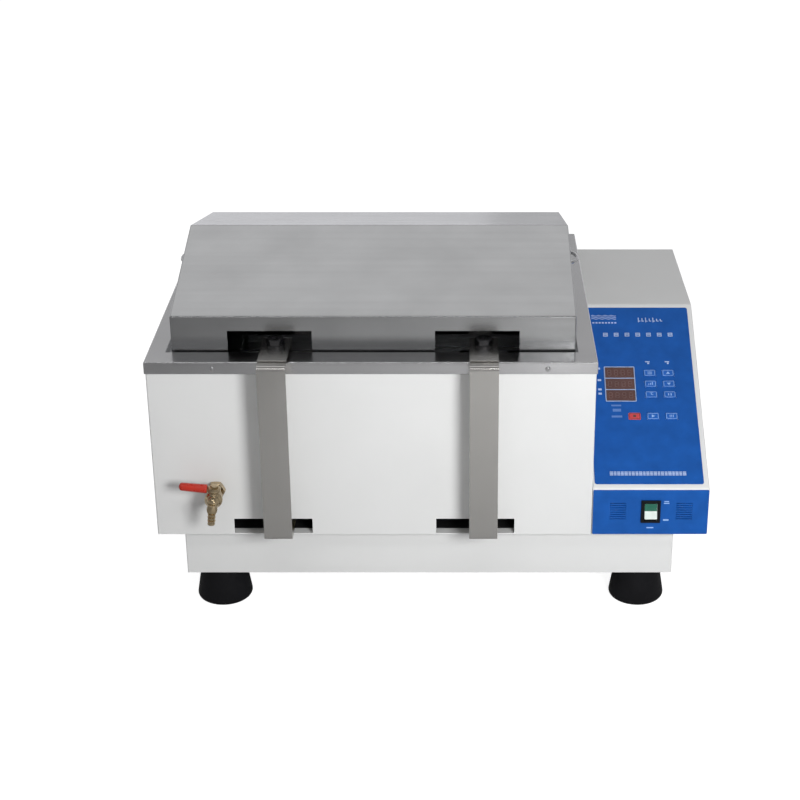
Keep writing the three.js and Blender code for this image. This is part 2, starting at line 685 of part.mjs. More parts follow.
// The platform rides on the crank pins. A hub over each pin is its bearing.
function makePlatform(frame) {
  let plate = centredBlock(PLATFORM_HALF_WIDTH, PLATFORM_HALF_DEPTH, PLATFORM_BOTTOM, PLATFORM_TOP);
  for (const { sideX } of CORNERS.slice(0, 2)) {
    const x = sideX * 100;
    const lightening = rod([x, 0, PLATFORM_BOTTOM - 1], [x, 0, PLATFORM_TOP + 1], PLATFORM_HOLE_RADIUS);
    plate = plate.subtract(lightening);
  }
  for (const { x, y } of [{ x: 0, y: 0 }, ...IDLERS]) {
    const bore = rod([x, y, PLATFORM_BOTTOM - 1], [x, y, HUB_TOP + 1], PIN_RADIUS + RUNNING_GAP);
    plate = plate.add(rod([x, y, PLATFORM_TOP - 1], [x, y, HUB_TOP], HUB_RADIUS)).subtract(bore);
  }
  addPart('platform', plate, zincSteel, frame);
}

// An arm is a strap outside the case, a bracket that hangs in the tank, and the bolt that
// joins them above the rim. It is drawn for the front and turned round for the rear.
function makeArm(frame, name, x, sideY) {
  const arm = new THREE.Group();
  arm.position.x = x;
  arm.rotation.z = sideY > 0 ? Math.PI : 0;
  frame.add(arm);

  const halfSheet = ARM_SHEET / 2;
  const strapCentre = STRAP_OUTER_Y - halfSheet;
  const strapFoot = PLATFORM_TOP + GAP + halfSheet;
  const strapOutline = bentStrip(
    [
      [-STRAP_TOP_END_Y, STRAP_TOP - halfSheet],
      [-strapCentre, STRAP_TOP - halfSheet],
      [-strapCentre, strapFoot],
      [-STRAP_FOOT_END_Y, strapFoot],
    ],
    ARM_SHEET,
    ARM_BEND_RADIUS,
  );
  const bracketTop = STRAP_TOP + GAP + ARM_SHEET;
  const bracketOutline = bentStrip(
    [
      [-BRACKET_OUTER_Y, bracketTop - halfSheet],
      [-BRACKET_LEG_Y - halfSheet, bracketTop - halfSheet],
      [-BRACKET_LEG_Y - halfSheet, BRACKET_BOTTOM],
    ],
    ARM_SHEET,
    ARM_BEND_RADIUS,
  );
  const half = ARM_WIDTH / 2;
  const shankRadius = 5;
  const boltHole = rod([0, -ARM_BOLT_Y, 300], [0, -ARM_BOLT_Y, 400], shankRadius + GAP);
  const strap = prism(strapOutline, WIDE, -half, half).subtract(boltHole);
  const bracket = prism(bracketOutline, WIDE, -half, half).subtract(boltHole);
  const headBottom = bracketTop + GAP;
  const bolt = hexagon([0, -ARM_BOLT_Y], ARM_BOLT_FLATS, HIGH, headBottom, headBottom + ARM_BOLT_HEAD)
    .add(rod([0, -ARM_BOLT_Y, RIM_TOP + 3], [0, -ARM_BOLT_Y, headBottom + 1], shankRadius));
  addPart(`arm_strap_${name}`, strap, stainless, arm);
  addPart(`arm_bracket_${name}`, bracket, stainless, arm);
  addPart(`arm_bolt_${name}`, bolt, darkSteel, arm);
}

// The tray hangs between the four brackets, with drain holes all over its floor.
function makeTray(frame) {
  const halfDepth = BRACKET_LEG_Y - GAP;
  const floorTop = TRAY_FLOOR + ARM_SHEET;
  const lipTop = TRAY_FLOOR + TRAY_LIP;
  const inside = [TRAY_HALF_WIDTH - ARM_SHEET, halfDepth - ARM_SHEET];
  let tray = centredBlock(TRAY_HALF_WIDTH, halfDepth, TRAY_FLOOR, lipTop)
    .subtract(centredBlock(...inside, floorTop, lipTop + 1));
  for (let column = -2.5; column <= 2.5; column += 1) {
    for (let row = -2; row <= 2; row += 1) {
      const [x, y] = [column * 72, row * 72];
      const low = [x, y, TRAY_FLOOR - 1];
      const hole = rod(low, [x, y, floorTop + 1], TRAY_HOLE_RADIUS, TRAY_HOLE_RADIUS, 8);
      tray = tray.subtract(hole);
    }
  }
  addPart('shaking_tray', tray, stainless, frame);
}

function makeShakingFrame() {
  const frame = new THREE.Group();
  frame.position.x = ORBIT_RADIUS;
  assembly.add(frame);
  makePlatform(frame);
  for (const { name, sideX, sideY } of CORNERS) {
    makeArm(frame, name, sideX * ARM_SPACING, sideY);
  }
  makeTray(frame);
}

// ---- Console --------------------------------------------------------------------------------

const slopeRise = CONSOLE_TOP - CONSOLE_BEND_Z;
const slopeRun = CONSOLE_SLOPE_END_Y - CONSOLE_FRONT_Y;
const slopeAngle = Math.atan2(slopeRise, slopeRun);

// The console's side view, drawn in by the sheet thickness for the inside. The slope meets its
// two neighbours at half angles, which set how far each corner moves.
function consoleOutline(inset) {
  const lowCorner = inset * Math.tan((Math.PI / 2 - slopeAngle) / 2);
  const highCorner = inset * Math.tan(slopeAngle / 2);
  const back = inset > 0 ? CONSOLE_BACK_Y + 5 : CONSOLE_BACK_Y;
  return [
    [CONSOLE_FRONT_Y + inset, CONSOLE_BOTTOM + inset],
    [back, CONSOLE_BOTTOM + inset],
    [back, CONSOLE_TOP - inset],
    [CONSOLE_SLOPE_END_Y + highCorner, CONSOLE_TOP - inset],
    [CONSOLE_FRONT_Y + inset, CONSOLE_BEND_Z - lowCorner],
  ];
}

// A rectangle on the slope, as a block in the slope's own frame: x across, y up the slope and
// z out of it.
function slopeBlock({ x, along }, width, height, inner, outer) {
  return block(
    [x - width / 2, along - height / 2, inner],
    [x + width / 2, along + height / 2, outer],
  );
}

// Slots of both vents, as blocks that run through the front face.
function ventSlots() {
  const slots = [];
  for (const { x } of VENTS) {
    for (let i = 0; i < VENT_SLOTS; i += 1) {
      const z = SWITCH.z + (i - (VENT_SLOTS - 1) / 2) * VENT_PITCH - VENT_SLOT_HEIGHT / 2;
      slots.push(block(
        [x - VENT_WIDTH / 2, CONSOLE_FRONT_Y - 5, z],
        [x + VENT_WIDTH / 2, CONSOLE_FRONT_Y + 5, z + VENT_SLOT_HEIGHT],
      ));
    }
  }
  return slots;
}

// The hole for the switch body, cut a little wide or to the size of the body itself.
function switchBlock(margin, front, back) {
  const halfWidth = SWITCH.width / 2 - 2 + margin;
  const halfHeight = SWITCH.height / 2 - 2 + margin;
  return block(
    [SWITCH.x - halfWidth, front, SWITCH.z - halfHeight],
    [SWITCH.x + halfWidth, back, SWITCH.z + halfHeight],
  );
}

function makeConsoleBody(slope) {
  const [innerLeft, innerRight] = [CONSOLE_LEFT + CONSOLE_SHEET, CONSOLE_RIGHT - CONSOLE_SHEET];
  const inside = prism(consoleOutline(CONSOLE_SHEET), WIDE, innerLeft, innerRight);
  let body = prism(consoleOutline(0), WIDE, CONSOLE_LEFT, CONSOLE_RIGHT).subtract(inside);
  const displayHole = slopeBlock(DISPLAY, DISPLAY.width + 2 * GAP, DISPLAY.height + 2 * GAP, -5, 5);
  body = body.subtract(displayHole.transform(slope.matrix.toArray()));
  body = body.subtract(switchBlock(GAP, CONSOLE_FRONT_Y - 5, CONSOLE_FRONT_Y + 5));
  for (const slot of ventSlots()) {
    body = body.subtract(slot);
  }
  addPart('console_body', body.subtract(wiringHole(CONSOLE_LEFT)), powderWhite);

  const inset = CONSOLE_SHEET + GAP;
  const inletHole = block(
    [INLET.x - 14, CONSOLE_BACK_Y - 9, INLET.z - 10],
    [INLET.x + 14, CONSOLE_BACK_Y + 9, INLET.z + 10],
  );
  const panel = block(
    [CONSOLE_LEFT + inset, CONSOLE_BACK_Y - 3, CONSOLE_BOTTOM + inset],
    [CONSOLE_RIGHT - inset, CONSOLE_BACK_Y - 1.5, CONSOLE_TOP - inset],
  );
  addPart('console_rear_panel', panel.subtract(inletHole), powderWhite);
}

function makeOverlays(slope) {
  const outline = roundedRectangle(OVERLAY_LEFT, OVERLAY_LOW, OVERLAY_RIGHT, OVERLAY_HIGH, OVERLAY_CORNER);
  let film = prism(outline, HIGH, GAP, GAP + OVERLAY_THICKNESS);
  film = film.subtract(slopeBlock(DISPLAY, DISPLAY.width + 2 * GAP, DISPLAY.height + 2 * GAP, -1, 3));
  for (const key of KEYS) {
    film = film.subtract(slopeBlock(key, KEY_WIDTH + 2 * GAP, KEY_HEIGHT + 2 * GAP, -1, 3));
  }
  addPart('control_overlay', film, blueFilm, slope);

  const front = CONSOLE_FRONT_Y - GAP;
  const [low, high] = [LOWER_OVERLAY_BOTTOM, LOWER_OVERLAY_TOP];
  const [left, right] = [CONSOLE_LEFT + 0.5, CONSOLE_RIGHT - 0.5];
  const lowerOutline = roundedRectangle(left, low, right, high, LOWER_OVERLAY_CORNER);
  let lower = prism(lowerOutline, DEEP, front - OVERLAY_THICKNESS, front)
    .subtract(switchBlock(GAP, front - 5, front + 5));
  for (const slot of ventSlots()) {
    lower = lower.subtract(slot);
  }
  addPart('lower_overlay', lower, blueFilm);
}

// The display block, the keys that stand in holes in the film, and the board behind them.
function makeControls(slope) {
  const display = slopeBlock(DISPLAY, DISPLAY.width, DISPLAY.height, -4, 1.6);
  addPart('display_window', display, darkWindow, slope);
  for (const key of KEYS) {
    const inner = GAP + KEY_TRAVEL;
    const cap = slopeBlock(key, KEY_WIDTH, KEY_HEIGHT, inner, inner + KEY_THICKNESS);
    addPart(key.name, cap, key.name === 'key_stop' ? keyRed : keyBlue, slope);
  }
  let board = block([302, 96, -14], [414, 264, -12.4]);
  for (const x of [308, 408]) {
    for (const along of [102, 258]) {
      board = board.add(rod([x, along, -13], [x, along, -CONSOLE_SHEET - GAP], 3, 3, 10));
    }
  }
  addPart('control_board', board, boardGreen, slope);
}

// The rocker turns on a pin across the bezel. Its two faces meet in a shallow valley.
function makePowerSwitch() {
  const flangeBack = CONSOLE_FRONT_Y - GAP - OVERLAY_THICKNESS - GAP;
  const flangeFront = flangeBack - 2.4;
  const bodyBack = CONSOLE_FRONT_Y + 18;
  const half = [SWITCH.width / 2, SWITCH.height / 2];
  const flange = block(
    [SWITCH.x - half[0], flangeFront, SWITCH.z - half[1]],
    [SWITCH.x + half[0], flangeBack, SWITCH.z + half[1]],
  );
  const well = block(
    [SWITCH.x - half[0] + 4, flangeFront - 1, SWITCH.z - half[1] + 3.6],
    [SWITCH.x + half[0] - 4, bodyBack - 2, SWITCH.z + half[1] - 3.6],
  );
  const bezel = flange.add(switchBlock(0, flangeFront + 1, bodyBack)).subtract(well);
  addPart('switch_bezel', bezel, blackPlastic);

  const reach = half[1] - 5.3;
  const face = -9;
  const outline = [
    [face - 1.2, -reach],
    [face + 0.6, 0],
    [face - 1.2, reach],
    [4, reach - 4],
    [4, -reach + 4],
  ];
  const rocker = addPart('power_rocker', prism(outline, WIDE, -half[0] + 4.4, half[0] - 4.4), greenLens);
  rocker.position.set(SWITCH.x, CONSOLE_FRONT_Y + 5, SWITCH.z);
  rocker.rotation.x = THREE.MathUtils.degToRad(-7);
}

// A mains inlet in the rear panel, with three blades in its well.
function makePowerInlet() {
  const panelBack = CONSOLE_BACK_Y - 1.5;
  const flangeFront = panelBack + GAP;
  const inletBlock = (x, z, halfWidth, halfHeight, front, back) => block(
    [INLET.x + x - halfWidth, front, INLET.z + z - halfHeight],
    [INLET.x + x + halfWidth, back, INLET.z + z + halfHeight],
  );
  let inlet = inletBlock(0, 0, 24, 12, flangeFront, flangeFront + 2.5)
    .add(inletBlock(0, 0, 13.5, 9.5, panelBack - 20, flangeFront + 1))
    .subtract(inletBlock(0, 0, 12, 8, panelBack - 17, flangeFront + 5));
  for (const [x, z] of [[-7, -1.5], [0, 2.5], [7, -1.5]]) {
    inlet = inlet.add(inletBlock(x, z, 1, 2, panelBack - 18, panelBack - 6));
  }
  addPart('power_inlet', inlet, blackPlastic);
}

function makeConsole() {
  const slope = new THREE.Group();
  slope.position.set(0, CONSOLE_FRONT_Y, CONSOLE_BEND_Z);
  slope.rotation.x = slopeAngle;
  slope.updateMatrix();
  assembly.add(slope);
  makeConsoleBody(slope);
  makeOverlays(slope);
  makeControls(slope);
  makePowerSwitch();
  makePowerInlet();
}

// ---- Drain valve ----------------------------------------------------------------------------

// The nipple goes through the case and the tank and is held by a hexagon outside and a collar
// inside.
function makeDrainNipple() {
  const at = (y) => [DRAIN_X, y, DRAIN_Z];
  const flangeBack = -CASE_HALF_DEPTH - GAP;
  const tankFront = -TANK_HALF_DEPTH;
  const nipple = rod(at(NIPPLE_FRONT_Y), at(tankFront + 4), NIPPLE_RADIUS)
    .add(hexagon([DRAIN_X, DRAIN_Z], 21, DEEP, flangeBack - 9, flangeBack))
    .add(rod(at(tankFront + GAP), at(tankFront + GAP + 2.5), 11))
    .subtract(rod(at(NIPPLE_FRONT_Y - 1), at(tankFront + 5), NIPPLE_BORE_RADIUS));
  addPart('drain_nipple', nipple, brass);
}

// A quarter-turn ball valve on the end of the nipple, with its barb down. It is drawn about the
// nipple's axis and leans a little to the right.
function makeDrainValve() {
  const valve = new THREE.Group();
  valve.position.set(DRAIN_X, 0, DRAIN_Z);
  valve.rotation.y = THREE.MathUtils.degToRad(VALVE_LEAN);
  assembly.add(valve);

  const at = (y, up = 0) => [0, y, up];
  const bodyBack = NIPPLE_FRONT_Y - GAP;
  const boreRadius = 4;
  const stemHousing = LEVER_RISE - 2;
  const body = hexagon([0, 0], 18, DEEP, bodyBack - 7.2, bodyBack)
    .add(ball(at(VALVE_BALL_Y), VALVE_BALL_RADIUS))
    .add(rod(at(VALVE_BALL_Y - 1), at(BARB_Y - 5), 8.2))
    .add(rod(at(VALVE_BALL_Y, 1), at(VALVE_BALL_Y, stemHousing), 6))
    .add(rod(at(BARB_Y, -2), at(BARB_Y, BARB_END), 5.2, 4.8))
    .subtract(rod(at(bodyBack + 1), at(BARB_Y), boreRadius))
    .subtract(ball(at(VALVE_BALL_Y), 7.8))
    .subtract(rod(at(VALVE_BALL_Y, 2), at(VALVE_BALL_Y, stemHousing + 1), 3.7))
    .subtract(rod(at(BARB_Y, 0.7), at(BARB_Y, BARB_END - 1), 2.4));
  addPart('drain_valve_body', body, brass, valve);

  const leverTop = LEVER_RISE + LEVER_THICKNESS;
  const halfBlade = 3.5;
  const sleeveEnd = -LEVER_HUB_RADIUS - SLEEVE_LENGTH;
  const blade = block(
    [sleeveEnd + 3, VALVE_BALL_Y - halfBlade, LEVER_RISE],
    [0, VALVE_BALL_Y + halfBlade, leverTop],
  );
  const lever = ball(at(VALVE_BALL_Y), 7)
    .subtract(rod([-9, VALVE_BALL_Y, 0], [9, VALVE_BALL_Y, 0], 3.5))
    .add(rod(at(VALVE_BALL_Y, 5.5), at(VALVE_BALL_Y, leverTop), 3))
    .add(blade)
    .add(rod(at(VALVE_BALL_Y, LEVER_RISE - 1), at(VALVE_BALL_Y, leverTop + 2), LEVER_HUB_RADIUS))
    .add(hexagon([0, VALVE_BALL_Y], 9, HIGH, leverTop + 1, leverTop + 4.5));
  addPart('drain_lever', lever, brass, valve);

  const sleeveMiddle = (LEVER_RISE + leverTop) / 2;
  const sleeveAt = (x) => [x, VALVE_BALL_Y, sleeveMiddle];
  const sleeveRoot = sleeveEnd + SLEEVE_LENGTH - GAP;
  const sleeve = rod(sleeveAt(sleeveEnd), sleeveAt(sleeveRoot), 5.2, 5.8)
    .subtract(block(
      [sleeveEnd + 3 - GAP, VALVE_BALL_Y - halfBlade - GAP, LEVER_RISE - GAP],
      [0, VALVE_BALL_Y + halfBlade + GAP, leverTop + GAP],
    ));
  addPart('drain_lever_sleeve', sleeve, redVinyl, valve);
}

// ---- Assembly -------------------------------------------------------------------------------

makeFeet();
makePlinth();
makeCase();
makeRim();
makeTank();
makeHeaterAndProbe();
makeLid();
makeDrive();
makeShakingFrame();
makeConsole();
makeDrainNipple();
makeDrainValve();

assembly.updateMatrixWorld(true);
const extent = new THREE.Box3().setFromObject(assembly, true);
assembly.position.set(-(extent.min.x + extent.max.x) / 2, -(extent.min.y + extent.max.y) / 2, -extent.min.z);

export default assembly;
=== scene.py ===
"""The looks of an orbital shaking water bath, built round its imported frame.

Lengths are in metres in the frame's own axes: +X along the bath to the right, +Y into the
machine and +Z up. Pieces take their places from the frame's boxes. Most sheet metal pieces are
the frame's own shapes with joined facets and rounded folds; turned, moulded and printed pieces
are made here.
"""

import json
import math

import bmesh
import bpy
from mathutils import Matrix, Vector

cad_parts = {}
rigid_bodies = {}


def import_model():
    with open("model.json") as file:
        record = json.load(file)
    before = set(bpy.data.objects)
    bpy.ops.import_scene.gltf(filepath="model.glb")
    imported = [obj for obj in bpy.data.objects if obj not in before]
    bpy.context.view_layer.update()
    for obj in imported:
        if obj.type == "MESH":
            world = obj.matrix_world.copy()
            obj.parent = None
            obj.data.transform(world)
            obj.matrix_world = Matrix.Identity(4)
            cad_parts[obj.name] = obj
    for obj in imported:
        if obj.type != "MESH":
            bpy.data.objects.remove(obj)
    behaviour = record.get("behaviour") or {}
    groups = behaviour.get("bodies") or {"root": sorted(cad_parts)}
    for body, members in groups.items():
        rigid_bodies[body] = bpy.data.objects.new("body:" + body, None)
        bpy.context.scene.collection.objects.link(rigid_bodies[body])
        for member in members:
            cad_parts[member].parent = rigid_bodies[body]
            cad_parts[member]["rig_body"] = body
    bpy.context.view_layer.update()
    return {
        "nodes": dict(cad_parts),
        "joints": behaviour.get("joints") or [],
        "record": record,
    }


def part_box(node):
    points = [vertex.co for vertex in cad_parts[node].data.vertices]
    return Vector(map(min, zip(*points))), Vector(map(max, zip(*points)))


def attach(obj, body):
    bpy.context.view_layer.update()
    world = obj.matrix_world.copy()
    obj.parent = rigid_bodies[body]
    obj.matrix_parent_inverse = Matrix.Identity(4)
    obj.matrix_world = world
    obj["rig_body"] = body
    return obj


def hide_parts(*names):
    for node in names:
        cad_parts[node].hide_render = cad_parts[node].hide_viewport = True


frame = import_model()
nodes = frame["nodes"]

MM = 0.001
CORNERS = ("front_left", "front_right", "rear_left", "rear_right")
SLOT_OF = {part["node"]: part["material_slot"] for part in frame["record"]["subparts"]}
scene = bpy.context.scene
scene.view_settings.view_transform = "Standard"


def middle(node):
    """The centre of a node's box."""
    low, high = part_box(node)
    return (low + high) / 2


def set_inputs(node, **values):
    """Sets a shader node's sockets by name, with _ for a space."""
    for name, value in values.items():
        node.inputs[name.replace("_", " ")].default_value = value


# ---- Camera, light and floor ----

VIEW_PITCH = math.radians(24.15)
VIEW_OFFSET = Vector((110.8, -1996, 843.8)) * MM  # from the middle of the rim's front edge


def make_camera():
    low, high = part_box("rim_frame")
    camera = bpy.data.objects.new("camera", bpy.data.cameras.new("camera"))
    camera.data.lens = 78.66
    camera.data.shift_x = -0.075
    camera.location = Vector(((low.x + high.x) / 2, low.y, high.z)) + VIEW_OFFSET
    camera.rotation_euler = (math.pi / 2 - VIEW_PITCH, 0, 0)
    scene.collection.objects.link(camera)
    scene.camera = camera


def area_light(name, direction, distance, size, power, color=(1, 1, 1), mirrored=True):
    """A soft box that faces the middle of the machine from a direction."""
    light = bpy.data.lights.new(name, "AREA")
    light.shape = "RECTANGLE"
    light.size, light.size_y = size
    light.energy = power
    light.color = color
    lamp = bpy.data.objects.new(name, light)
    target = Vector((0, 0, 0.25))
    away = Vector(direction).normalized()
    lamp.location = target + away * distance
    lamp.rotation_euler = away.to_track_quat("Z", "Y").to_euler()
    lamp.visible_camera = False
    lamp.visible_glossy = mirrored
    scene.collection.objects.link(lamp)


SKY_STOPS = ((0.0, 0.30), (0.42, 0.42), (0.5, 0.95), (0.60, 0.48), (0.80, 0.35), (1.0, 0.25))
SKY_FRONT = 0.60  # how bright the room in front of the machine is, against the room behind


def make_sky():
    """White behind the machine, and a room of soft greys in what it reflects."""
    world = bpy.data.worlds.new("studio")
    world.use_nodes = True
    tree = world.node_tree
    tree.nodes.clear()
    add = tree.nodes.new
    coords = add("ShaderNodeTexCoord")
    split = add("ShaderNodeSeparateXYZ")
    height = add("ShaderNodeMapRange")
    set_inputs(height, From_Min=-1.0)
    ramp = add("ShaderNodeValToRGB")
    for i, (place, grey) in enumerate(SKY_STOPS):
        stops = ramp.color_ramp.elements
        stop = stops[i] if i < 2 else stops.new(place)
        stop.position = place
        stop.color = (grey, grey, grey * 1.01, 1)
    side = add("ShaderNodeMapRange")
    side.interpolation_type = "SMOOTHSTEP"
    set_inputs(side, From_Min=-0.3, From_Max=0.3, To_Min=SKY_FRONT)
    room = add("ShaderNodeBackground")
    backdrop = add("ShaderNodeBackground")
    set_inputs(backdrop, Color=(1, 1, 1, 1))
    path = add("ShaderNodeLightPath")
    mix = add("ShaderNodeMixShader")
    output = add("ShaderNodeOutputWorld")
    link = tree.links.new
    link(coords.outputs["Generated"], split.inputs[0])
    link(split.outputs["Z"], height.inputs["Value"])
    link(height.outputs["Result"], ramp.inputs["Fac"])
    link(ramp.outputs["Color"], room.inputs["Color"])
    link(split.outputs["Y"], side.inputs["Value"])
    link(side.outputs["Result"], room.inputs["Strength"])
    link(path.outputs["Is Camera Ray"], mix.inputs["Fac"])
    link(room.outputs[0], mix.inputs[1])
    link(backdrop.outputs[0], mix.inputs[2])
    link(mix.outputs[0], output.inputs["Surface"])
    scene.world = world


def stage_plane(name, low, high, z, grey, glow=0.0):
    """A level matt rectangle that belongs to the studio, and its material's nodes."""
    bpy.ops.mesh.primitive_plane_add(size=1)
    plane = bpy.context.object
    plane.name = name
    plane.scale = (high[0] - low[0], high[1] - low[1], 1)
    plane.location = ((low[0] + high[0]) / 2, (low[1] + high[1]) / 2, z)
    mat = bpy.data.materials.new(name)
    mat.use_nodes = True
    set_inputs(mat.node_tree.nodes["Principled BSDF"], Base_Color=(grey, grey, grey, 1),
               Roughness=0.9, Specular_IOR_Level=0.0, Emission_Color=(1, 1, 1, 1),
               Emission_Strength=glow)
    plane.data.materials.append(mat)
    return plane, mat.node_tree


def reflector(name, low, high, grey, glow=0.0):
    """A card on the floor that only the machine's metal and paint see."""
    card, _ = stage_plane(name, low, high, 4 * MM, grey, glow)
    card.visible_camera = False
    card.visible_shadow = False


FLOOR_REACH = 12.0
FLOOR_Z = -0.2 * MM
FLOOR_WHITE = 0.45
FLOOR_GLOW = 0.92


def make_floor():
    """A pale floor that is white to the eye and keeps the soft shadow under the feet."""
    _, tree = stage_plane("studio_floor", (-FLOOR_REACH, -FLOOR_REACH), (FLOOR_REACH, FLOOR_REACH),
                          FLOOR_Z, FLOOR_WHITE)
    path = tree.nodes.new("ShaderNodeLightPath")
    glow = tree.nodes.new("ShaderNodeMath")
    glow.operation = "MULTIPLY"
    glow.inputs[1].default_value = FLOOR_GLOW
    tree.links.new(path.outputs["Is Camera Ray"], glow.inputs[0])
    tree.links.new(glow.outputs[0], tree.nodes["Principled BSDF"].inputs["Emission Strength"])


# ---- Materials ----

def plain(name, color, roughness, metallic=0.0, **sockets):
    """A principled material; the named sockets are set by value."""
    mat = bpy.data.materials.new(name)
    mat.use_nodes = True
    set_inputs(mat.node_tree.nodes["Principled BSDF"], Base_Color=(*color, 1), Roughness=roughness,
               Metallic=metallic, **sockets)
    return mat


def pattern(mat, size, stretch=(1, 1, 1), detail=3.0, kind="Noise"):
    """Noise, or cells, fixed to the piece. Size is a feature's width, drawn out by stretch."""
    tree = mat.node_tree
    coords = tree.nodes.new("ShaderNodeTexCoord")
    mapping = tree.nodes.new("ShaderNodeMapping")
    set_inputs(mapping, Scale=[1 / (size * s) for s in stretch])
    texture = tree.nodes.new(f"ShaderNodeTex{kind}")
    set_inputs(texture, Scale=1.0, Detail=detail)
    tree.links.new(coords.outputs["Object"], mapping.inputs["Vector"])
    tree.links.new(mapping.outputs["Vector"], texture.inputs["Vector"])
    return texture.outputs[0]


def rescale(mat, value, low, high):
    """Maps the useful middle of a noise to a range."""
    node = mat.node_tree.nodes.new("ShaderNodeMapRange")
    set_inputs(node, From_Min=0.3, From_Max=0.7, To_Min=low, To_Max=high)
    mat.node_tree.links.new(value, node.inputs["Value"])
    return node.outputs["Result"]


def tint(mat, value, other, most=1.0):
    """Blends the base colour towards another by a pattern."""
    tree = mat.node_tree
    shader = tree.nodes["Principled BSDF"]
    base = shader.inputs["Base Color"]
    mix = tree.nodes.new("ShaderNodeMix")
    mix.data_type = "RGBA"
    factor, first, second = (mix.inputs[i] for i in (0, 6, 7))
    second.default_value = (*other, 1)
    if base.is_linked:
        tree.links.new(base.links[0].from_socket, first)
    else:
        first.default_value = base.default_value
    tree.links.new(rescale(mat, value, 0.0, most), factor)
    tree.links.new(mix.outputs[2], base)


def gloss(mat, value, low, high):
    """Varies the roughness by a pattern."""
    target = mat.node_tree.nodes["Principled BSDF"].inputs["Roughness"]
    mat.node_tree.links.new(rescale(mat, value, low, high), target)


def relief(mat, value, depth):
    """Adds a bump of a real depth in metres, on top of any bump already there."""
    tree = mat.node_tree
    normal = tree.nodes["Principled BSDF"].inputs["Normal"]
    bump = tree.nodes.new("ShaderNodeBump")
    set_inputs(bump, Distance=depth)
    if normal.is_linked:
        tree.links.new(normal.links[0].from_socket, bump.inputs["Normal"])
    tree.links.new(value, bump.inputs["Height"])
    tree.links.new(bump.outputs["Normal"], normal)


def scaled(color, factor):
    return tuple(min(1.0, channel * factor) for channel in color)


def brushed(name, color, rough, along, streak=0.06, smear=0.07, depth=0.002 * MM, wave=0.12 * MM):
    """Rolled or brushed sheet: a fine grain along one or two axes, broad streaks of polish,
    faint smears, and the slight waviness of thin sheet."""
    mat = plain(name, color, rough, 1.0)
    fine = pattern(mat, 0.8 * MM, along, 4.0)
    streaks = pattern(mat, 11.2 * MM, along, 2.0)
    smears = pattern(mat, 90 * MM, detail=4.0)
    tint(mat, streaks, scaled(color, 1 - streak), 0.8)
    tint(mat, smears, scaled(color, 1 - smear), 0.9)
    gloss(mat, streaks, rough - 0.03, rough + 0.03)
    relief(mat, pattern(mat, 160 * MM, detail=1.0), wave)
    relief(mat, fine, depth)
    return mat


def powder(name, color):
    """Powder coat: fine orange peel, and faint grime in broad patches."""
    mat = plain(name, color, 0.42, Coat_Weight=0.15, Coat_Roughness=0.25)
    peel = pattern(mat, 1.6 * MM, detail=2.0)
    tint(mat, pattern(mat, 120 * MM, detail=5.0), scaled(color, 0.965))
    gloss(mat, peel, 0.36, 0.48)
    relief(mat, peel, 0.02 * MM)
    return mat


def moulded(name, color, rough, grain=0.5 * MM, depth=0.012 * MM, **sockets):
    """Moulded plastic or rubber with a fine grain and uneven polish."""
    mat = plain(name, color, rough, **sockets)
    grains = pattern(mat, grain, detail=3.0)
    tint(mat, pattern(mat, 20 * MM, detail=4.0), scaled(color, 0.82))
    gloss(mat, pattern(mat, 6 * MM), rough - 0.06, rough + 0.08)
    relief(mat, grains, depth)
    return mat


def metal(name, color, rough, size, depth, darker=0.75):
    """Cast, turned or plated metal with uneven polish."""
    mat = plain(name, color, rough, 1.0)
    blotches = pattern(mat, size, detail=5.0)
    tint(mat, blotches, scaled(color, darker))
    gloss(mat, blotches, rough - 0.07, rough + 0.1)
    relief(mat, pattern(mat, size / 8), depth)
    return mat


def zinc_plate(name, color):
    mat = metal(name, color, 0.34, 24 * MM, 0.01 * MM, 0.85)
    spangle = pattern(mat, 9 * MM, detail=0.0, kind="Voronoi")
    tint(mat, spangle, scaled(color, 1.2), 0.5)
    return mat


def wool(name, color):
    mat = plain(name, color, 0.95, Sheen_Weight=0.4)
    fibres = pattern(mat, 2 * MM, (1, 6, 1), 5.0)
    tint(mat, fibres, scaled(color, 0.6))
    relief(mat, fibres, 1.5 * MM)
    return mat


ACROSS_X = (1, 60, 60)  # a grain whose lines run along Y and Z
ALONG_X = (60, 1, 1)
BLUE = (0.0112, 0.102, 0.42)
GREEN = (0.009, 0.135, 0.085)

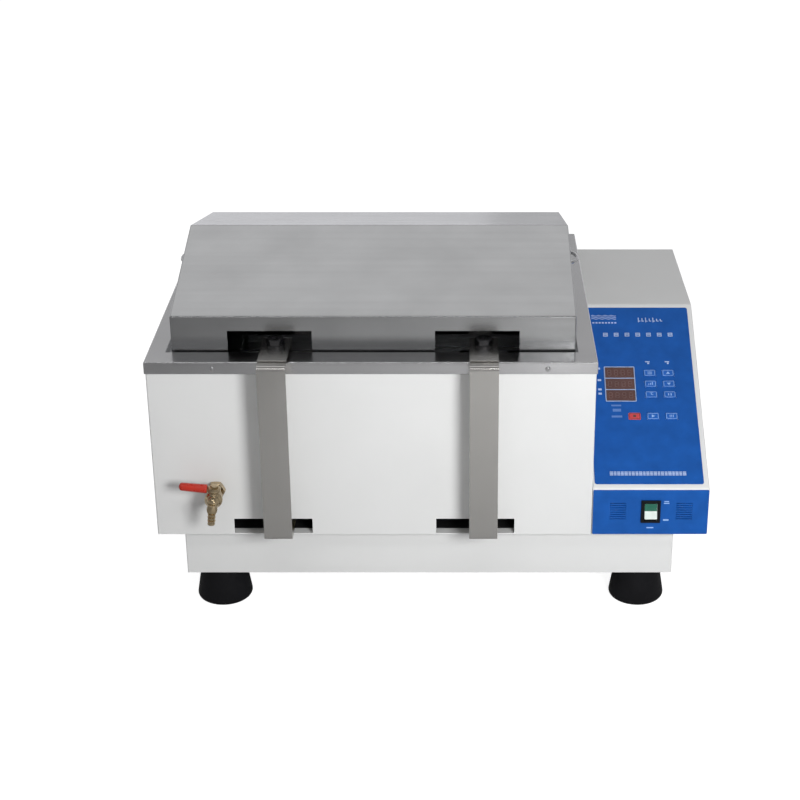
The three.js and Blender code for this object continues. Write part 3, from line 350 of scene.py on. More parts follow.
MATERIALS = {
    "powder_white": powder("powder_white", (0.80, 0.805, 0.80)),
    "zinc_steel": zinc_plate("zinc_steel", (0.56, 0.57, 0.58)),
    "black_rubber": moulded("black_rubber", (0.008, 0.008, 0.0095), 0.5, 1.2 * MM, 0.02 * MM,
                            Specular_IOR_Level=0.15),
    "lid_stainless": brushed("lid_stainless", (0.52, 0.525, 0.53), 0.24, ALONG_X, 0.015, 0.13,
                             depth=0.0005 * MM, wave=0.04 * MM),
    "polished_stainless": brushed("polished_stainless", (0.66, 0.66, 0.67), 0.22, ALONG_X),
    "tank_stainless": brushed("tank_stainless", (0.58, 0.59, 0.60), 0.25, ALONG_X),
    "arm_stainless": brushed("arm_stainless", (0.66, 0.645, 0.62), 0.24, ACROSS_X),
    "dark_steel": metal("dark_steel", (0.17, 0.17, 0.18), 0.22, 8 * MM, 0.01 * MM),
    "mineral_wool": wool("mineral_wool", (0.69, 0.62, 0.34)),
    "blue_film": moulded("blue_film", BLUE, 0.5, 0.35 * MM, 0.003 * MM, Specular_IOR_Level=0.2),
    "dark_window": moulded("dark_window", (0.125, 0.064, 0.058), 0.2, 0.4 * MM, 0.001 * MM,
                           Coat_Weight=0.5, Coat_Roughness=0.08),
    "blue_key": moulded("blue_key", scaled(BLUE, 1.25), 0.3, 0.3 * MM, 0.003 * MM),
    "red_key": moulded("red_key", (0.62, 0.07, 0.08), 0.3, 0.3 * MM, 0.003 * MM),
    "circuit_board": moulded("circuit_board", (0.014, 0.102, 0.037), 0.4),
    "black_plastic": moulded("black_plastic", (0.005, 0.006, 0.008), 0.35, 0.4 * MM, 0.006 * MM,
                             Specular_IOR_Level=0.25),
    "green_lens": moulded("green_lens", GREEN, 0.16, 0.3 * MM, 0.001 * MM, Coat_Weight=0.6,
                          Coat_Roughness=0.05),
    "brass": metal("brass", (0.62, 0.49, 0.31), 0.24, 9 * MM, 0.01 * MM, 0.78),
    "red_vinyl": moulded("red_vinyl", (0.56, 0.028, 0.012), 0.30, 0.6 * MM, 0.006 * MM,
                         Coat_Weight=0.3, Coat_Roughness=0.15),
}
print_blue = moulded("print_blue", (0.34, 0.55, 0.92), 0.5)
print_faint = moulded("print_faint", (0.12, 0.25, 0.60), 0.5)
print_white = moulded("print_white", (0.50, 0.62, 0.88), 0.5)
frame_blue = moulded("frame_blue", (0.40, 0.52, 0.78), 0.4)
digit_red = moulded("digit_red", (0.150, 0.080, 0.073), 0.3)
# A pale green-white that stands in for a painted reflection on the rocker's lower half.
painted_reflection_pale = moulded("painted_reflection_pale", (0.82, 0.92, 0.88), 0.18, 0.4 * MM, 0.001 * MM,
                     Coat_Weight=0.5, Coat_Roughness=0.05)
cloth_blue = moulded("cloth_blue", scaled(BLUE, 1.1), 0.9, Specular_IOR_Level=0.0)
# Near black that stands in for painted shade: the insides of the case and the plinth's top under
# it, where the slots look into the dark.
painted_shade_inside = moulded("painted_shade_inside", (0.015, 0.015, 0.016), 0.7)


# ---- Building meshes ----

AXES = {
    "X": lambda u, v, w: (w, u, v),
    "Y": lambda u, v, w: (u, w, v),
    "Z": lambda u, v, w: (u, v, w),
}


def skin(rings, loop=False):
    """A closed surface through rings of as many points each; a ring of one point is a tip."""
    bm = bmesh.new()
    made = [[bm.verts.new(point) for point in ring] for ring in rings]
    pairs = list(zip(made, made[1:]))
    if loop:
        pairs.append((made[-1], made[0]))
    for lower, upper in pairs:
        count = max(len(lower), len(upper))
        for i in range(count):
            j = (i + 1) % count
            corners = [lower[i % len(lower)], lower[j % len(lower)]]
            corners += [upper[j % len(upper)], upper[i % len(upper)]]
            corners = list(dict.fromkeys(corners))
            if len(corners) > 2:
                bm.faces.new(corners)
    if not loop:
        for ring in (made[0], made[-1]):
            if len(ring) > 2:
                bm.faces.new(ring)
    bmesh.ops.recalc_face_normals(bm, faces=bm.faces)
    return bm


def prism(outline, start, end, axis="Z"):
    """An outline pushed along one axis."""
    place = AXES[axis]
    return skin([[place(u, v, w) for u, v in outline] for w in (start, end)])


def circle(radius, steps):
    turn = 2 * math.pi / steps
    return [(radius * math.cos(i * turn), radius * math.sin(i * turn)) for i in range(steps)]


def arc(radius, centre, start, end, steps, out=0.0):
    """Profile points of a round, as (radius, height), from one latitude to another, round a
    point that is out from the axis."""
    points = []
    for step in range(steps + 1):
        angle = math.radians(start + (end - start) * step / steps)
        points.append((out + radius * math.cos(angle), centre + radius * math.sin(angle)))
    return points


def turned(profile, centre, axis="Z", steps=56, loop=False):
    """A profile of (radius, height) points turned about an axis through the centre."""
    place = AXES[axis]
    rings = []
    for radius, height in profile:
        ring = circle(radius, steps) if radius > 0 else [(0.0, 0.0)]
        rings.append([Vector(place(u, v, height)) + Vector(centre) for u, v in ring])
    return skin(rings, loop=loop)


def hexagonal(flats, centre, start, end, axis):
    """A hexagon bar whose two ends are chamfered round."""
    corner = flats / math.sqrt(3)
    chamfer = 0.08 * flats
    bm = prism(circle(corner, 6), start, end, axis)
    bmesh.ops.translate(bm, vec=Vector(centre), verts=bm.verts)
    cone = [
        (corner * 0.86, start),
        (corner * 1.02, start + chamfer),
        (corner * 1.02, end - chamfer),
        (corner * 0.86, end),
    ]
    return combine(bm, turned(cone, centre, axis, 48), "INTERSECT")


def sweep(points, radius):
    """A round bar through points, closed at both ends."""
    rings = []
    normal = None
    last = len(points) - 1
    for i, point in enumerate(points):
        tangent = (points[min(i + 1, last)] - points[max(i - 1, 0)]).normalized()
        normal = normal or tangent.orthogonal()
        normal = (normal - tangent * normal.dot(tangent)).normalized()
        side = tangent.cross(normal)
        rings.append([point + normal * u + side * v for u, v in circle(radius, 24)])
    return skin(rings)


def rounded(left, low, right, high, radius, steps=6):
    """The outline of a rectangle with round corners."""
    outline = []
    corners = ((right, high, -1, -1), (left, high, 1, -1), (left, low, 1, 1), (right, low, -1, 1))
    for quarter, (x, y, sx, sy) in enumerate(corners):
        for step in range(steps + 1):
            angle = (quarter + step / steps) * math.pi / 2
            outline.append((x + sx * radius + radius * math.cos(angle),
                            y + sy * radius + radius * math.sin(angle)))
    return outline


def plate(x, y, width, height, low, high, radius=0.0):
    """A flat rectangle about a point, with round corners if it has a radius."""
    edges = (x - width / 2, y - height / 2, x + width / 2, y + height / 2)
    if radius > 0:
        return prism(rounded(*edges, radius), low, high)
    left, bottom, right, top = edges
    return prism([(left, bottom), (right, bottom), (right, top), (left, top)], low, high)


def joined(*parts):
    """Several closed surfaces in one mesh."""
    bm = bmesh.new()
    for part in parts:
        mesh = bpy.data.meshes.new("joined")
        part.to_mesh(mesh)
        part.free()
        bm.from_mesh(mesh)
        bpy.data.meshes.remove(mesh)
    return bm


def combine(bm, tool, operation):
    """An exact boolean of two closed surfaces."""
    pair = []
    for part in (bm, tool):
        mesh = bpy.data.meshes.new("combine")
        part.to_mesh(mesh)
        part.free()
        pair.append(bpy.data.objects.new("combine", mesh))
        scene.collection.objects.link(pair[-1])
    cut = pair[0].modifiers.new("cut", "BOOLEAN")
    cut.operation = operation
    cut.solver = "EXACT"
    cut.object = pair[1]
    view = bpy.context.evaluated_depsgraph_get()
    result = bmesh.new()
    result.from_mesh(pair[0].evaluated_get(view).to_mesh())
    for obj in pair:
        mesh = obj.data
        bpy.data.objects.remove(obj)
        bpy.data.meshes.remove(mesh)
    return result


def paint(bm, index):
    """Gives every face of a surface one of its piece's materials."""
    for face in bm.faces:
        face.material_index = index
    return bm


WEIGHT = "bevel_weight_edge"


def softened(node, fine, rules=(), sharpest=28):
    """A node's shape with its flat facets joined and its edges marked for rounding. Each rule
    is a radius and a test, and the first test that takes an edge sets its radius."""
    bm = bmesh.new()
    bm.from_mesh(nodes[node].data)
    bmesh.ops.remove_doubles(bm, verts=bm.verts, dist=0.002 * MM)
    bmesh.ops.dissolve_limit(bm, angle_limit=math.radians(0.5), verts=bm.verts, edges=bm.edges)
    weight = bm.edges.layers.float.new(WEIGHT)
    widest = max([fine] + [radius for radius, _ in rules])
    for edge in bm.edges:
        if edge.is_manifold and edge.calc_face_angle() > math.radians(sharpest):
            radius = next((radius for radius, test in rules if test(edge)), fine)
            edge[weight] = radius / widest
            edge.smooth = radius > 0
    return bm, widest


def add_piece(name, bm, body, slot, materials=None, replaces=(), bevel=0.0, segments=3,
              weighted=False, sharp=38):
    """Turns a surface into a named piece that rides on a body."""
    mesh = bpy.data.meshes.new(name)
    bm.to_mesh(mesh)
    bm.free()
    for mat in materials or [MATERIALS[slot]]:
        mesh.materials.append(mat)
    mesh.shade_smooth()
    obj = bpy.data.objects.new(name, mesh)
    scene.collection.objects.link(obj)
    if bevel:
        edges = obj.modifiers.new("edges", "BEVEL")
        edges.width = bevel
        edges.segments = segments
        edges.limit_method = "WEIGHT" if weighted else "ANGLE"
        edges.angle_limit = math.radians(sharp)
        normals = obj.modifiers.new("normals", "WEIGHTED_NORMAL")
        normals.keep_sharp = True
    else:
        mesh.set_sharp_from_angle(angle=math.radians(sharp))
    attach(obj, body)
    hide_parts(*replaces)
    return obj


def stand_in(node, suffix, bm, **options):
    """A piece that stands for one node, on its body and in its slot."""
    body = nodes[node]["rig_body"]
    return add_piece(f"{node}_{suffix}", bm, body, SLOT_OF[node], replaces=[node], **options)


def soften_node(node, fine, rules=(), suffix="sheet", sharpest=28, segments=3):
    bm, widest = softened(node, fine, rules, sharpest)
    return stand_in(node, suffix, bm, bevel=widest, weighted=True, segments=segments)


# Tests of an edge, for the rules of softened().

def span(edge):
    return edge.verts[1].co - edge.verts[0].co


def runs(edge, axis, least):
    """Whether the edge runs along an axis for at least a length."""
    along = span(edge)
    return abs(along[axis]) > 0.999 * along.length and along.length > least


def convex(edge):
    return edge.calc_face_angle_signed() > 0


def outside(edge, node):
    """Whether both faces of the edge look away from the middle of the node's box."""
    centre = middle(node)
    return all(f.normal.dot(f.calc_center_median() - centre) > 0 for f in edge.link_faces)


def edge_middle(edge):
    return (edge.verts[0].co + edge.verts[1].co) / 2


# ---- Feet, plinth, case and tank ----

FOOT_ROLL = 6 * MM
FOOT_TAPER = 0.808  # radius under the plinth, against the radius on the floor


def make_feet():
    """Conical rubber feet with a rolled base and a moulded ring under the plinth."""
    for corner in CORNERS:
        node = f"foot_{corner}"
        low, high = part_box(node)
        base = (high.x - low.x) / 2
        top = base * FOOT_TAPER
        height = high.z
        profile = [
            (0, 1.2 * MM),
            (base * 0.45, 1.2 * MM),
            (base * 0.48, 0),
            (base - FOOT_ROLL, 0),
            *arc(FOOT_ROLL, FOOT_ROLL, -74, 6, 5, base - FOOT_ROLL),
            (base - 0.4 * MM, 9 * MM),
            (top + 0.4 * MM, height - 6 * MM),
            (top - 0.4 * MM, height - 4.6 * MM),
            (top - 0.4 * MM, height - 1 * MM),
            (top - 1.4 * MM, height),
            (0, height),
        ]
        centre = Vector((middle(node).x, middle(node).y, 0))
        stand_in(node, "rubber", turned(profile, centre, steps=72))


def make_plinth():
    low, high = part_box("plinth")
    rules = [
        (1.6 * MM, lambda e: convex(e) and outside(e, "plinth")
         and edge_middle(e).z > low.z + 1 * MM and e.calc_length() > 40 * MM),
    ]
    bm, widest = softened("plinth", 0.35 * MM, rules)
    for face in bm.faces:
        # The plinth's top under the case is painted near black: painted shade where it is seen
        # through the slots.
        painted_shade_under_case = face.normal.z > 0.9 and face.calc_center_median().z > high.z - 0.2 * MM
        face.material_index = int(painted_shade_under_case)
    stand_in("plinth", "sheet", bm, bevel=widest, weighted=True,
             materials=[MATERIALS["powder_white"], painted_shade_inside])
    soften_node("plinth_bottom_plate", 0.3 * MM)


CASE_FLANGE_CLEAR = 5 * MM
CASE_WITHIN = 0.8 * MM  # half way through the case's sheet


def make_case():
    """White outside and on its lower flange, and painted near black inside: painted shade where
    the inside is seen through the slots.
    """
    rules = [
        (2.0 * MM, lambda e: runs(e, 2, 150 * MM) and convex(e) and outside(e, "outer_case")),
    ]
    low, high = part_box("outer_case")
    low += Vector((CASE_WITHIN, CASE_WITHIN, CASE_FLANGE_CLEAR))
    high -= Vector((CASE_WITHIN, CASE_WITHIN, CASE_WITHIN))
    bm, widest = softened("outer_case", 0.3 * MM, rules)
    for face in bm.faces:
        at = face.calc_center_median()
        # Faces inside the case take the near-black painted shade.
        face.material_index = int(all(low[i] < at[i] < high[i] for i in range(3)))
    stand_in("outer_case", "sheet", bm, bevel=widest, weighted=True,
             materials=[MATERIALS["powder_white"], painted_shade_inside])


def make_rim():
    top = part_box("rim_frame")[1].z - 0.5 * MM
    rules = [
        (1.6 * MM, lambda e: convex(e) and outside(e, "rim_frame") and e.calc_length() > 200 * MM
         and edge_middle(e).z > top),
        (1.0 * MM, lambda e: convex(e) and edge_middle(e).z > top),
        (0.8 * MM, lambda e: runs(e, 2, 8 * MM) and convex(e)),
    ]
    soften_node("rim_frame", 0.2 * MM, rules)


TANK_CORNER = 14 * MM
TANK_COVE = 6 * MM


def make_tank():
    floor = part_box("tank")[0].z
    rules = [
        (TANK_CORNER, lambda e: runs(e, 2, 150 * MM)),
        (TANK_COVE, lambda e: not convex(e) and e.calc_length() > 300 * MM
         and edge_middle(e).z < floor + 5 * MM),
    ]
    soften_node("tank", 0.3 * MM, rules, segments=5)
    soften_node("tank_insulation", 1.2 * MM, suffix="wool")
    soften_node("heater_guard", 0.3 * MM)


def make_probe_and_heater():
    """The probe has a round tip, and the heater is drawn along the frame's own hairpin."""
    low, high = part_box("temperature_probe")
    centre = middle("temperature_probe")
    radius = 3 * MM
    collar = (high.z - low.z) / 2
    collar_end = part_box("tank")[1].x - 23 * MM
    profile = [(0, low.x)]
    profile += [
        (radius * math.sin(math.radians(a)), low.x + radius * (1 - math.cos(math.radians(a))))
        for a in (25, 50, 75, 90)
    ]
    profile += [
        (radius, collar_end - 4.3 * MM),
        (collar - 0.6 * MM, collar_end - 4.3 * MM),
        (collar, collar_end - 3.7 * MM),
        (collar, collar_end - 0.5 * MM),
        (radius, collar_end - 0.5 * MM),
        (radius, high.x),
        (0, high.x),
    ]
    stand_in("temperature_probe", "turned", turned(profile, (0, centre.y, centre.z), "X", 32))

    low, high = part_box("heater_element")
    centre = middle("heater_element")
    radius = (high.z - low.z) / 2
    bend = (high.y - low.y) / 2 - radius
    bend_x = low.x + radius + bend
    points = [Vector((high.x, centre.y - bend, centre.z))]
    for step in range(25):
        angle = math.radians(270 - 7.5 * step)
        points.append(Vector((bend_x + bend * math.cos(angle), centre.y + bend * math.sin(angle),
                              centre.z)))
    points.append(Vector((high.x, centre.y + bend, centre.z)))
    stand_in("heater_element", "tube", sweep(points, radius))


# ---- Lid ----

def make_lid():
    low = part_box("lid")[0]
    rules = [
        (1.8 * MM, lambda e: convex(e) and outside(e, "lid") and e.calc_length() > 40 * MM
         and edge_middle(e).z > low.z + 2 * MM
         and not (runs(e, 0, 40 * MM) and edge_middle(e).z < low.z + 40 * MM)),
    ]
    soften_node("lid", 0.25 * MM, rules, sharpest=12)
    for node, outward in (("lid_handle_left", -1), ("lid_handle_right", 1)):
        make_handle(node, outward)


HANDLE_PAD = [(0, 0), (4.4 * MM, 0), (4.4 * MM, 0.8 * MM), (3.0 * MM, 1.6 * MM), (0, 1.6 * MM)]


def make_handle(node, outward):
    """A wire bow like half an ellipse, with a round pad at each root."""
    low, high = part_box(node)
    radius = (high.z - low.z) / 2
    root, tip = (low.x, high.x) if outward > 0 else (high.x, low.x)
    reach = tip - outward * radius - root
    half = (high.y - low.y) / 2 - radius
    place = middle(node)
    curve = []
    for step in range(25):
        angle = math.pi * (step / 24 - 0.5)
        curve.append(Vector((root + reach * math.cos(angle), place.y + half * math.sin(angle),
                             place.z)))
    pads = []
    for side in (-1, 1):
        pad = turned(HANDLE_PAD, (0, 0, 0), "X", 28)
        bmesh.ops.scale(pad, vec=(outward, 1, 1), verts=pad.verts)
        bmesh.ops.translate(pad, vec=(root, place.y + side * half, place.z), verts=pad.verts)
        bmesh.ops.recalc_face_normals(pad, faces=pad.faces)
        pads.append(pad)
    stand_in(node, "wire", joined(sweep(curve, radius), *pads))


# ---- Shaking frame ----

BOLT_FLATS = 20 * MM
BOLT_SHANK = 5 * MM
WASHER_HEIGHT = 1.4 * MM
TRAY_HOLE = 10 * MM
TRAY_PITCH = 72 * MM
TRAY_COLUMNS = 6
TRAY_ROWS = 5
TRAY_CORNER = 9 * MM
TRAY_SHEET = 2 * MM


def make_arms():
    for corner in CORNERS:
        soften_node(f"arm_strap_{corner}", 0.28 * MM)
        soften_node(f"arm_bracket_{corner}", 0.28 * MM)
        node = f"arm_bolt_{corner}"
        low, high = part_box(node)
        centre = Vector((middle(node).x, middle(node).y, 0))
        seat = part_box(f"arm_bracket_{corner}")[1].z
        washer_top = seat + WASHER_HEIGHT
        washer = BOLT_FLATS * 0.57
        head = hexagonal(BOLT_FLATS, centre, washer_top, high.z, "Z")
        ring = turned([(BOLT_SHANK, seat + 0.1 * MM), (washer - 0.3 * MM, seat + 0.1 * MM),
                       (washer, seat + 0.4 * MM), (washer, washer_top - 0.3 * MM),
                       (washer - 0.3 * MM, washer_top - 0.05 * MM),
                       (BOLT_SHANK, washer_top - 0.05 * MM)], centre, steps=48, loop=True)
        shank = turned([(0, low.z), (BOLT_SHANK - 0.8 * MM, low.z), (BOLT_SHANK, low.z + 0.8 * MM),
                        (BOLT_SHANK, washer_top + 1 * MM), (0, washer_top + 1 * MM)], centre)
        stand_in(node, "hex", joined(head, ring, shank), sharp=25)


def make_tray():
    """A shallow tray whose floor is full of round holes with broken edges."""
    low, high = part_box("shaking_tray")
    centre = middle("shaking_tray")
    floor = low.z + TRAY_SHEET
    tray = prism(rounded(low.x, low.y, high.x, high.y, TRAY_CORNER), low.z, high.z)
    inside = rounded(low.x + TRAY_SHEET, low.y + TRAY_SHEET, high.x - TRAY_SHEET,
                     high.y - TRAY_SHEET, TRAY_CORNER - TRAY_SHEET)
    tray = combine(tray, prism(inside, floor, high.z + 1 * MM), "DIFFERENCE")
    drill = [(0, low.z - 1 * MM), (TRAY_HOLE, low.z - 1 * MM), (TRAY_HOLE, floor + 2 * MM),
             (0, floor + 2 * MM)]
    holes = []
    for column in range(TRAY_COLUMNS):
        for row in range(TRAY_ROWS):
            x = centre.x + (column - (TRAY_COLUMNS - 1) / 2) * TRAY_PITCH
            y = centre.y + (row - (TRAY_ROWS - 1) / 2) * TRAY_PITCH
            holes.append(turned(drill, Vector((x, y, 0)), steps=36))
    tray = combine(tray, joined(*holes), "DIFFERENCE")
    stand_in("shaking_tray", "perforated", tray, bevel=0.35 * MM, segments=2)


# ---- Console ----

KEY_PRESS = next(joint for joint in frame["joints"] if joint["child"] == "key_set")
INWARD = Vector(KEY_PRESS["axis"]).normalized()
UP_SLOPE = Vector((0, -INWARD.z, INWARD.y))
FILM = 0.8 * MM
FILM_CORNER = 3 * MM
FILM_CLEARANCE = 0.5 * MM  # round a key or the display, both sides together
PRINT_GAP = 0.02 * MM
PRINT = 0.05 * MM


def slope_frame():
    """The slope's own frame: x across, y up the slope and z out of it, from the film's low left
    corner on its inner face."""
    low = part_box("control_overlay")[0]
    origin = Vector((low.x, low.y + INWARD.y * FILM, low.z))
    across = Vector((1, 0, 0))
    turn = Matrix((across, UP_SLOPE, -INWARD)).transposed().to_4x4()
    return Matrix.Translation(origin) @ turn


SLOPE = slope_frame()


def on_slope(node):
    """A node's centre in the slope's frame."""
    return SLOPE.inverted() @ middle(node)


def lift(bm):
    """Moves a surface from the slope's frame to the object's."""
    bm.transform(SLOPE)
    bmesh.ops.recalc_face_normals(bm, faces=bm.faces)
    return bm


VENT_CENTRES = (314, 399.5)  # from the middle of the case, in millimetres
VENT_SIZE = (23 * MM, 27 * MM)
VENT_DEPTH = 4 * MM  # behind the film's face
VENT_FACE_AREA = 60 * MM * MM  # more than a slot's side, less than the front
VENT_EDGE = 30 * MM
CONSOLE_SHEET = 1.5 * MM


def in_vent(point):
    """Whether a point of the console's front lies inside one of its vents."""
    switch = middle("switch_bezel")
    case_x = middle("outer_case").x
    wide, tall = VENT_SIZE
    beside = any(abs(point.x - case_x - x * MM) < wide / 2 + MM for x in VENT_CENTRES)
    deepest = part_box("lower_overlay")[0].y + VENT_DEPTH
    return beside and abs(point.z - switch.z) < tall / 2 + MM and point.y < deepest


def make_console_box():
    """The white box, with its vent slots dark blue inside, and the pieces let into it."""
    node = "console_body"
    low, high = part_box(node)
    back = high.y - 20 * MM
    rules = [
        (0.0, lambda e: in_vent(edge_middle(e)) and e.calc_length() < VENT_EDGE),
        (3.0 * MM, lambda e: runs(e, 0, 100 * MM) and convex(e) and edge_middle(e).y < back
         and outside(e, node)),
        (1.6 * MM, lambda e: convex(e) and e.calc_length() > 60 * MM and edge_middle(e).y < back
         and outside(e, node)),
        (1.6 * MM, lambda e: runs(e, 1, 100 * MM) and convex(e) and outside(e, node)),
    ]
    bm, widest = softened(node, 0.3 * MM, rules)
    within = 0.05 * MM
    for face in bm.faces:
        at = face.calc_center_median()
        in_sheet = low.y + within < at.y < low.y + CONSOLE_SHEET - within
        face.material_index = int(in_sheet and face.calc_area() < VENT_FACE_AREA and in_vent(at))
    stand_in(node, "sheet", bm, bevel=widest, weighted=True,
             materials=[MATERIALS["powder_white"], cloth_blue])
    soften_node("console_rear_panel", 0.25 * MM)

    bm, widest = softened("lower_overlay", 0.2 * MM, [(0.0, lambda e: in_vent(edge_middle(e)))])
    film_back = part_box("lower_overlay")[1].y
    for vert in bm.verts:
        if vert.co.y > film_back - 0.1 * MM:
            vert.co.y = low.y - PRINT_GAP
    stand_in("lower_overlay", "film", bm, bevel=widest, weighted=True)
    soften_node("switch_bezel", 0.5 * MM, suffix="moulding")
    soften_node("power_inlet", 0.4 * MM, suffix="moulding")
    soften_node("control_board", 0.15 * MM, suffix="laminate")


def film_size():
    """The film's width and height up the slope, measured on its far corner."""
    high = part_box("control_overlay")[1]
    corner = SLOPE.inverted() @ Vector((high.x, high.y, high.z))
    return corner.x, corner.y


KEY_NODES = [node for node in nodes if node.startswith("key_")]


def make_film():
    """The panel film, cut out round the display and round each key."""
    width, height = film_size()
    film = prism(rounded(0, 0, width, height, FILM_CORNER, 10), 0, FILM)
    cutters = []
    for node in [*KEY_NODES, "display_window"]:
        centre = on_slope(node)
        across, up = KEY_SIZE if node in KEY_NODES else DISPLAY_SIZE
        cutters.append(plate(centre.x, centre.y, across + FILM_CLEARANCE, up + FILM_CLEARANCE,
                             -1 * MM, 2 * MM, 1.6 * MM))
    film = combine(film, joined(*cutters), "DIFFERENCE")
    stand_in("control_overlay", "film", lift(film), bevel=0.12 * MM, segments=2)


KEY_SIZE = (16 * MM, 11 * MM)
KEY_THICKNESS = 1 * MM
KEY_RADIUS = 1.8 * MM


def polygon(points):
    """An outline given in millimetres."""
    return [(u * MM, v * MM) for u, v in points]


def bar(x, y, width, height):
    """A small printed bar, in millimetres, as an outline."""
    return polygon([(x - width / 2, y - height / 2), (x + width / 2, y - height / 2),
                    (x + width / 2, y + height / 2), (x - width / 2, y + height / 2)])


KEY_MARKS = {
    "key_set": [bar(0, 1.5, 6, 0.8), bar(0, -0.2, 6, 0.8), bar(0, -1.9, 6, 0.8)],
    "key_up": [polygon([(-2.6, -1.6), (2.6, -1.6), (0, 2.2)])],
    "key_speed": [bar(-2.4, -0.8, 1.1, 2.0), bar(0, -0.2, 1.1, 3.2), bar(2.4, 0.5, 1.1, 4.6)],
    "key_down": [polygon([(-2.6, 1.6), (0, -2.2), (2.6, 1.6)])],
    "key_timer": [bar(0, 0.9, 0.8, 2.6), bar(1.0, -0.4, 2.8, 0.8), bar(0, 2.6, 4.6, 0.6)],
    "key_memory": [bar(-1.7, 0, 1.5, 3.6), bar(1.7, 0, 1.5, 3.6)],
    "key_stop": [bar(0, 0, 3.6, 3.4)],
    "key_start": [polygon([(-1.8, -2.4), (2.4, 0), (-1.8, 2.4)])],
    "key_heat": [bar(-2.2, 0, 0.9, 4.2), bar(0, 0, 0.9, 4.2), bar(2.2, 0, 0.9, 4.2)],
}


def marks(outlines, x, y, base):
    """Printed outlines, given in metres, as thin solids about a point."""
    return joined(*[
        prism([(x + u, y + v) for u, v in outline], base, base + PRINT) for outline in outlines
    ])


def outline_frame(x, y, width, height, line, base, top, radius):
    """A rectangular line with round corners."""
    outer = plate(x, y, width, height, base, top, radius)
    inner = plate(x, y, width - 2 * line, height - 2 * line, base - 1 * MM, top + 1 * MM,
                  max(radius - line, 0.2 * MM))
    return combine(outer, inner, "DIFFERENCE")


def make_keys():
    """Low domed caps with a printed line round the edge and a plain mark each."""
    width, height = KEY_SIZE
    for node in KEY_NODES:
        centre = on_slope(node)
        base = centre.z - KEY_THICKNESS / 2
        crown = centre.z + KEY_THICKNESS / 2
        levels = ((0.0, base), (0.0, crown - 0.45 * MM), (0.12, crown - 0.25 * MM),
                  (0.4, crown - 0.1 * MM), (0.9, crown - PRINT))
        rings = [
            [(u, v, z) for u, v in rounded(centre.x - width / 2 + inset * MM,
                                           centre.y - height / 2 + inset * MM,
                                           centre.x + width / 2 - inset * MM,
                                           centre.y + height / 2 - inset * MM,
                                           max(KEY_RADIUS - inset * MM, 0.5 * MM))]
            for inset, z in levels
        ]
        cap = paint(skin(rings), 0)
        border = outline_frame(centre.x, centre.y, width - 2 * MM, height - 2 * MM, 0.55 * MM,
                               crown - PRINT - 0.02 * MM, crown - 0.01 * MM, 1.0 * MM)
        mark = marks(KEY_MARKS[node], centre.x, centre.y, crown - PRINT - 0.02 * MM)
        printed = joined(paint(border, 1), paint(mark, 1))
        own = MATERIALS[SLOT_OF[node]]
        ink = print_blue if node != "key_stop" else MATERIALS["dark_window"]
        stand_in(node, "cap", lift(joined(cap, printed)), materials=[own, ink])


DISPLAY_SIZE = (41 * MM, 58 * MM)
SEGMENTS = (  # place across and up, in halves of the figure, and whether it lies flat
    (0, 1, True), (0, 0, True), (0, -1, True),
    (-1, 0.5, False), (1, 0.5, False), (-1, -0.5, False), (1, -0.5, False),
)


def digit(x, y, base):
    """The seven unlit segments of one figure of the display."""
    half_width, half_height, line = 2.2 * MM, 4.4 * MM, 1.0 * MM
    parts = []
    for across, up, flat in SEGMENTS:
        length = 2 * half_width - 0.6 * MM if flat else half_height - 0.6 * MM
        size = (length, line) if flat else (line, length)
        place = (x + across * half_width, y + up * half_height)
        parts.append(plate(*place, *size, base, base + PRINT))
    return joined(*parts)


def make_display():
    """Three tinted windows in a pale frame, each over a row of four unlit figures."""
    centre = on_slope("display_window")
    width, height = DISPLAY_SIZE
    low = centre.z - 2.8 * MM
    top = centre.z + 2.8 * MM
    rim, rows, figures_each = 1.1 * MM, 3, 4
    window_width = width - 2 * rim
    window_height = (height - (rows + 1) * rim) / rows
    body = plate(centre.x, centre.y, width, height, low, top, 1.2 * MM)
    windows, wells, figures = [], [], []
    for row in range(rows):
        y = centre.y + (row - 1) * (window_height + rim)
        wells.append(plate(centre.x, y, window_width, window_height, top - 1.2 * MM, top + 1 * MM,
                           0.6 * MM))
        windows.append(plate(centre.x, y, window_width - 0.1 * MM, window_height - 0.1 * MM,
                             top - 1.18 * MM, top - 0.3 * MM, 0.6 * MM))
        for column in range(figures_each):
            x = centre.x + (column - (figures_each - 1) / 2) * window_width / 4.3
            figures.append(digit(x, y, top - 0.3 * MM + PRINT_GAP))
    body = combine(body, joined(*wells), "DIFFERENCE")
    block = joined(paint(body, 0), paint(joined(*windows), 1), paint(joined(*figures), 2))
    stand_in("display_window", "block", lift(block),
             materials=[frame_blue, MATERIALS["dark_window"], digit_red])


def wave(x, y, width, amplitude, line, bends):
    """A wavy line, in millimetres, as an outline: the plain sign for water."""
    steps = 8
    count = bends * steps
    crest = [(x + width * (i / count - 0.5), y + amplitude * math.sin(2 * math.pi * i / steps))
             for i in range(count + 1)]
    upper = [(u, v + line / 2) for u, v in crest]
    return polygon([(u, v - line / 2) for u, v in crest] + upper[::-1])


def head_marks(height):
    """A wave sign over a row of dots, and a level scale, at the top of the panel."""
    outlines = [wave(24.5, height - 14.5 - 2.8 * line, 34, 0.8, 0.9, 4) for line in range(3)]
    outlines += [bar(10 + 4.3 * i, height - 27, 2.6, 2.4) for i in range(8)]
    for i, tall in enumerate((8, 6, 8, 5, 8, 4, 3)):
        outlines += [bar(72 + 5.0 * i, height - 22, 1.2, tall),
                     bar(73.4 + 5.0 * i, height - 24, 2.4, 1.2)]
    return outlines


def indicator_marks():
    """Seven small framed signs in a row, one over each lamp."""
    outlines = []
    for i in range(7):
        x = 25.5 + 14.7 * i
        outlines += [bar(x, 246.6 - 2.5 * line, 6.4, 1.3) for line in range(3)]
        outlines += [bar(x + side, 244.1, 1.1, 6.2) for side in (-2.6, 2.6)]
    return outlines


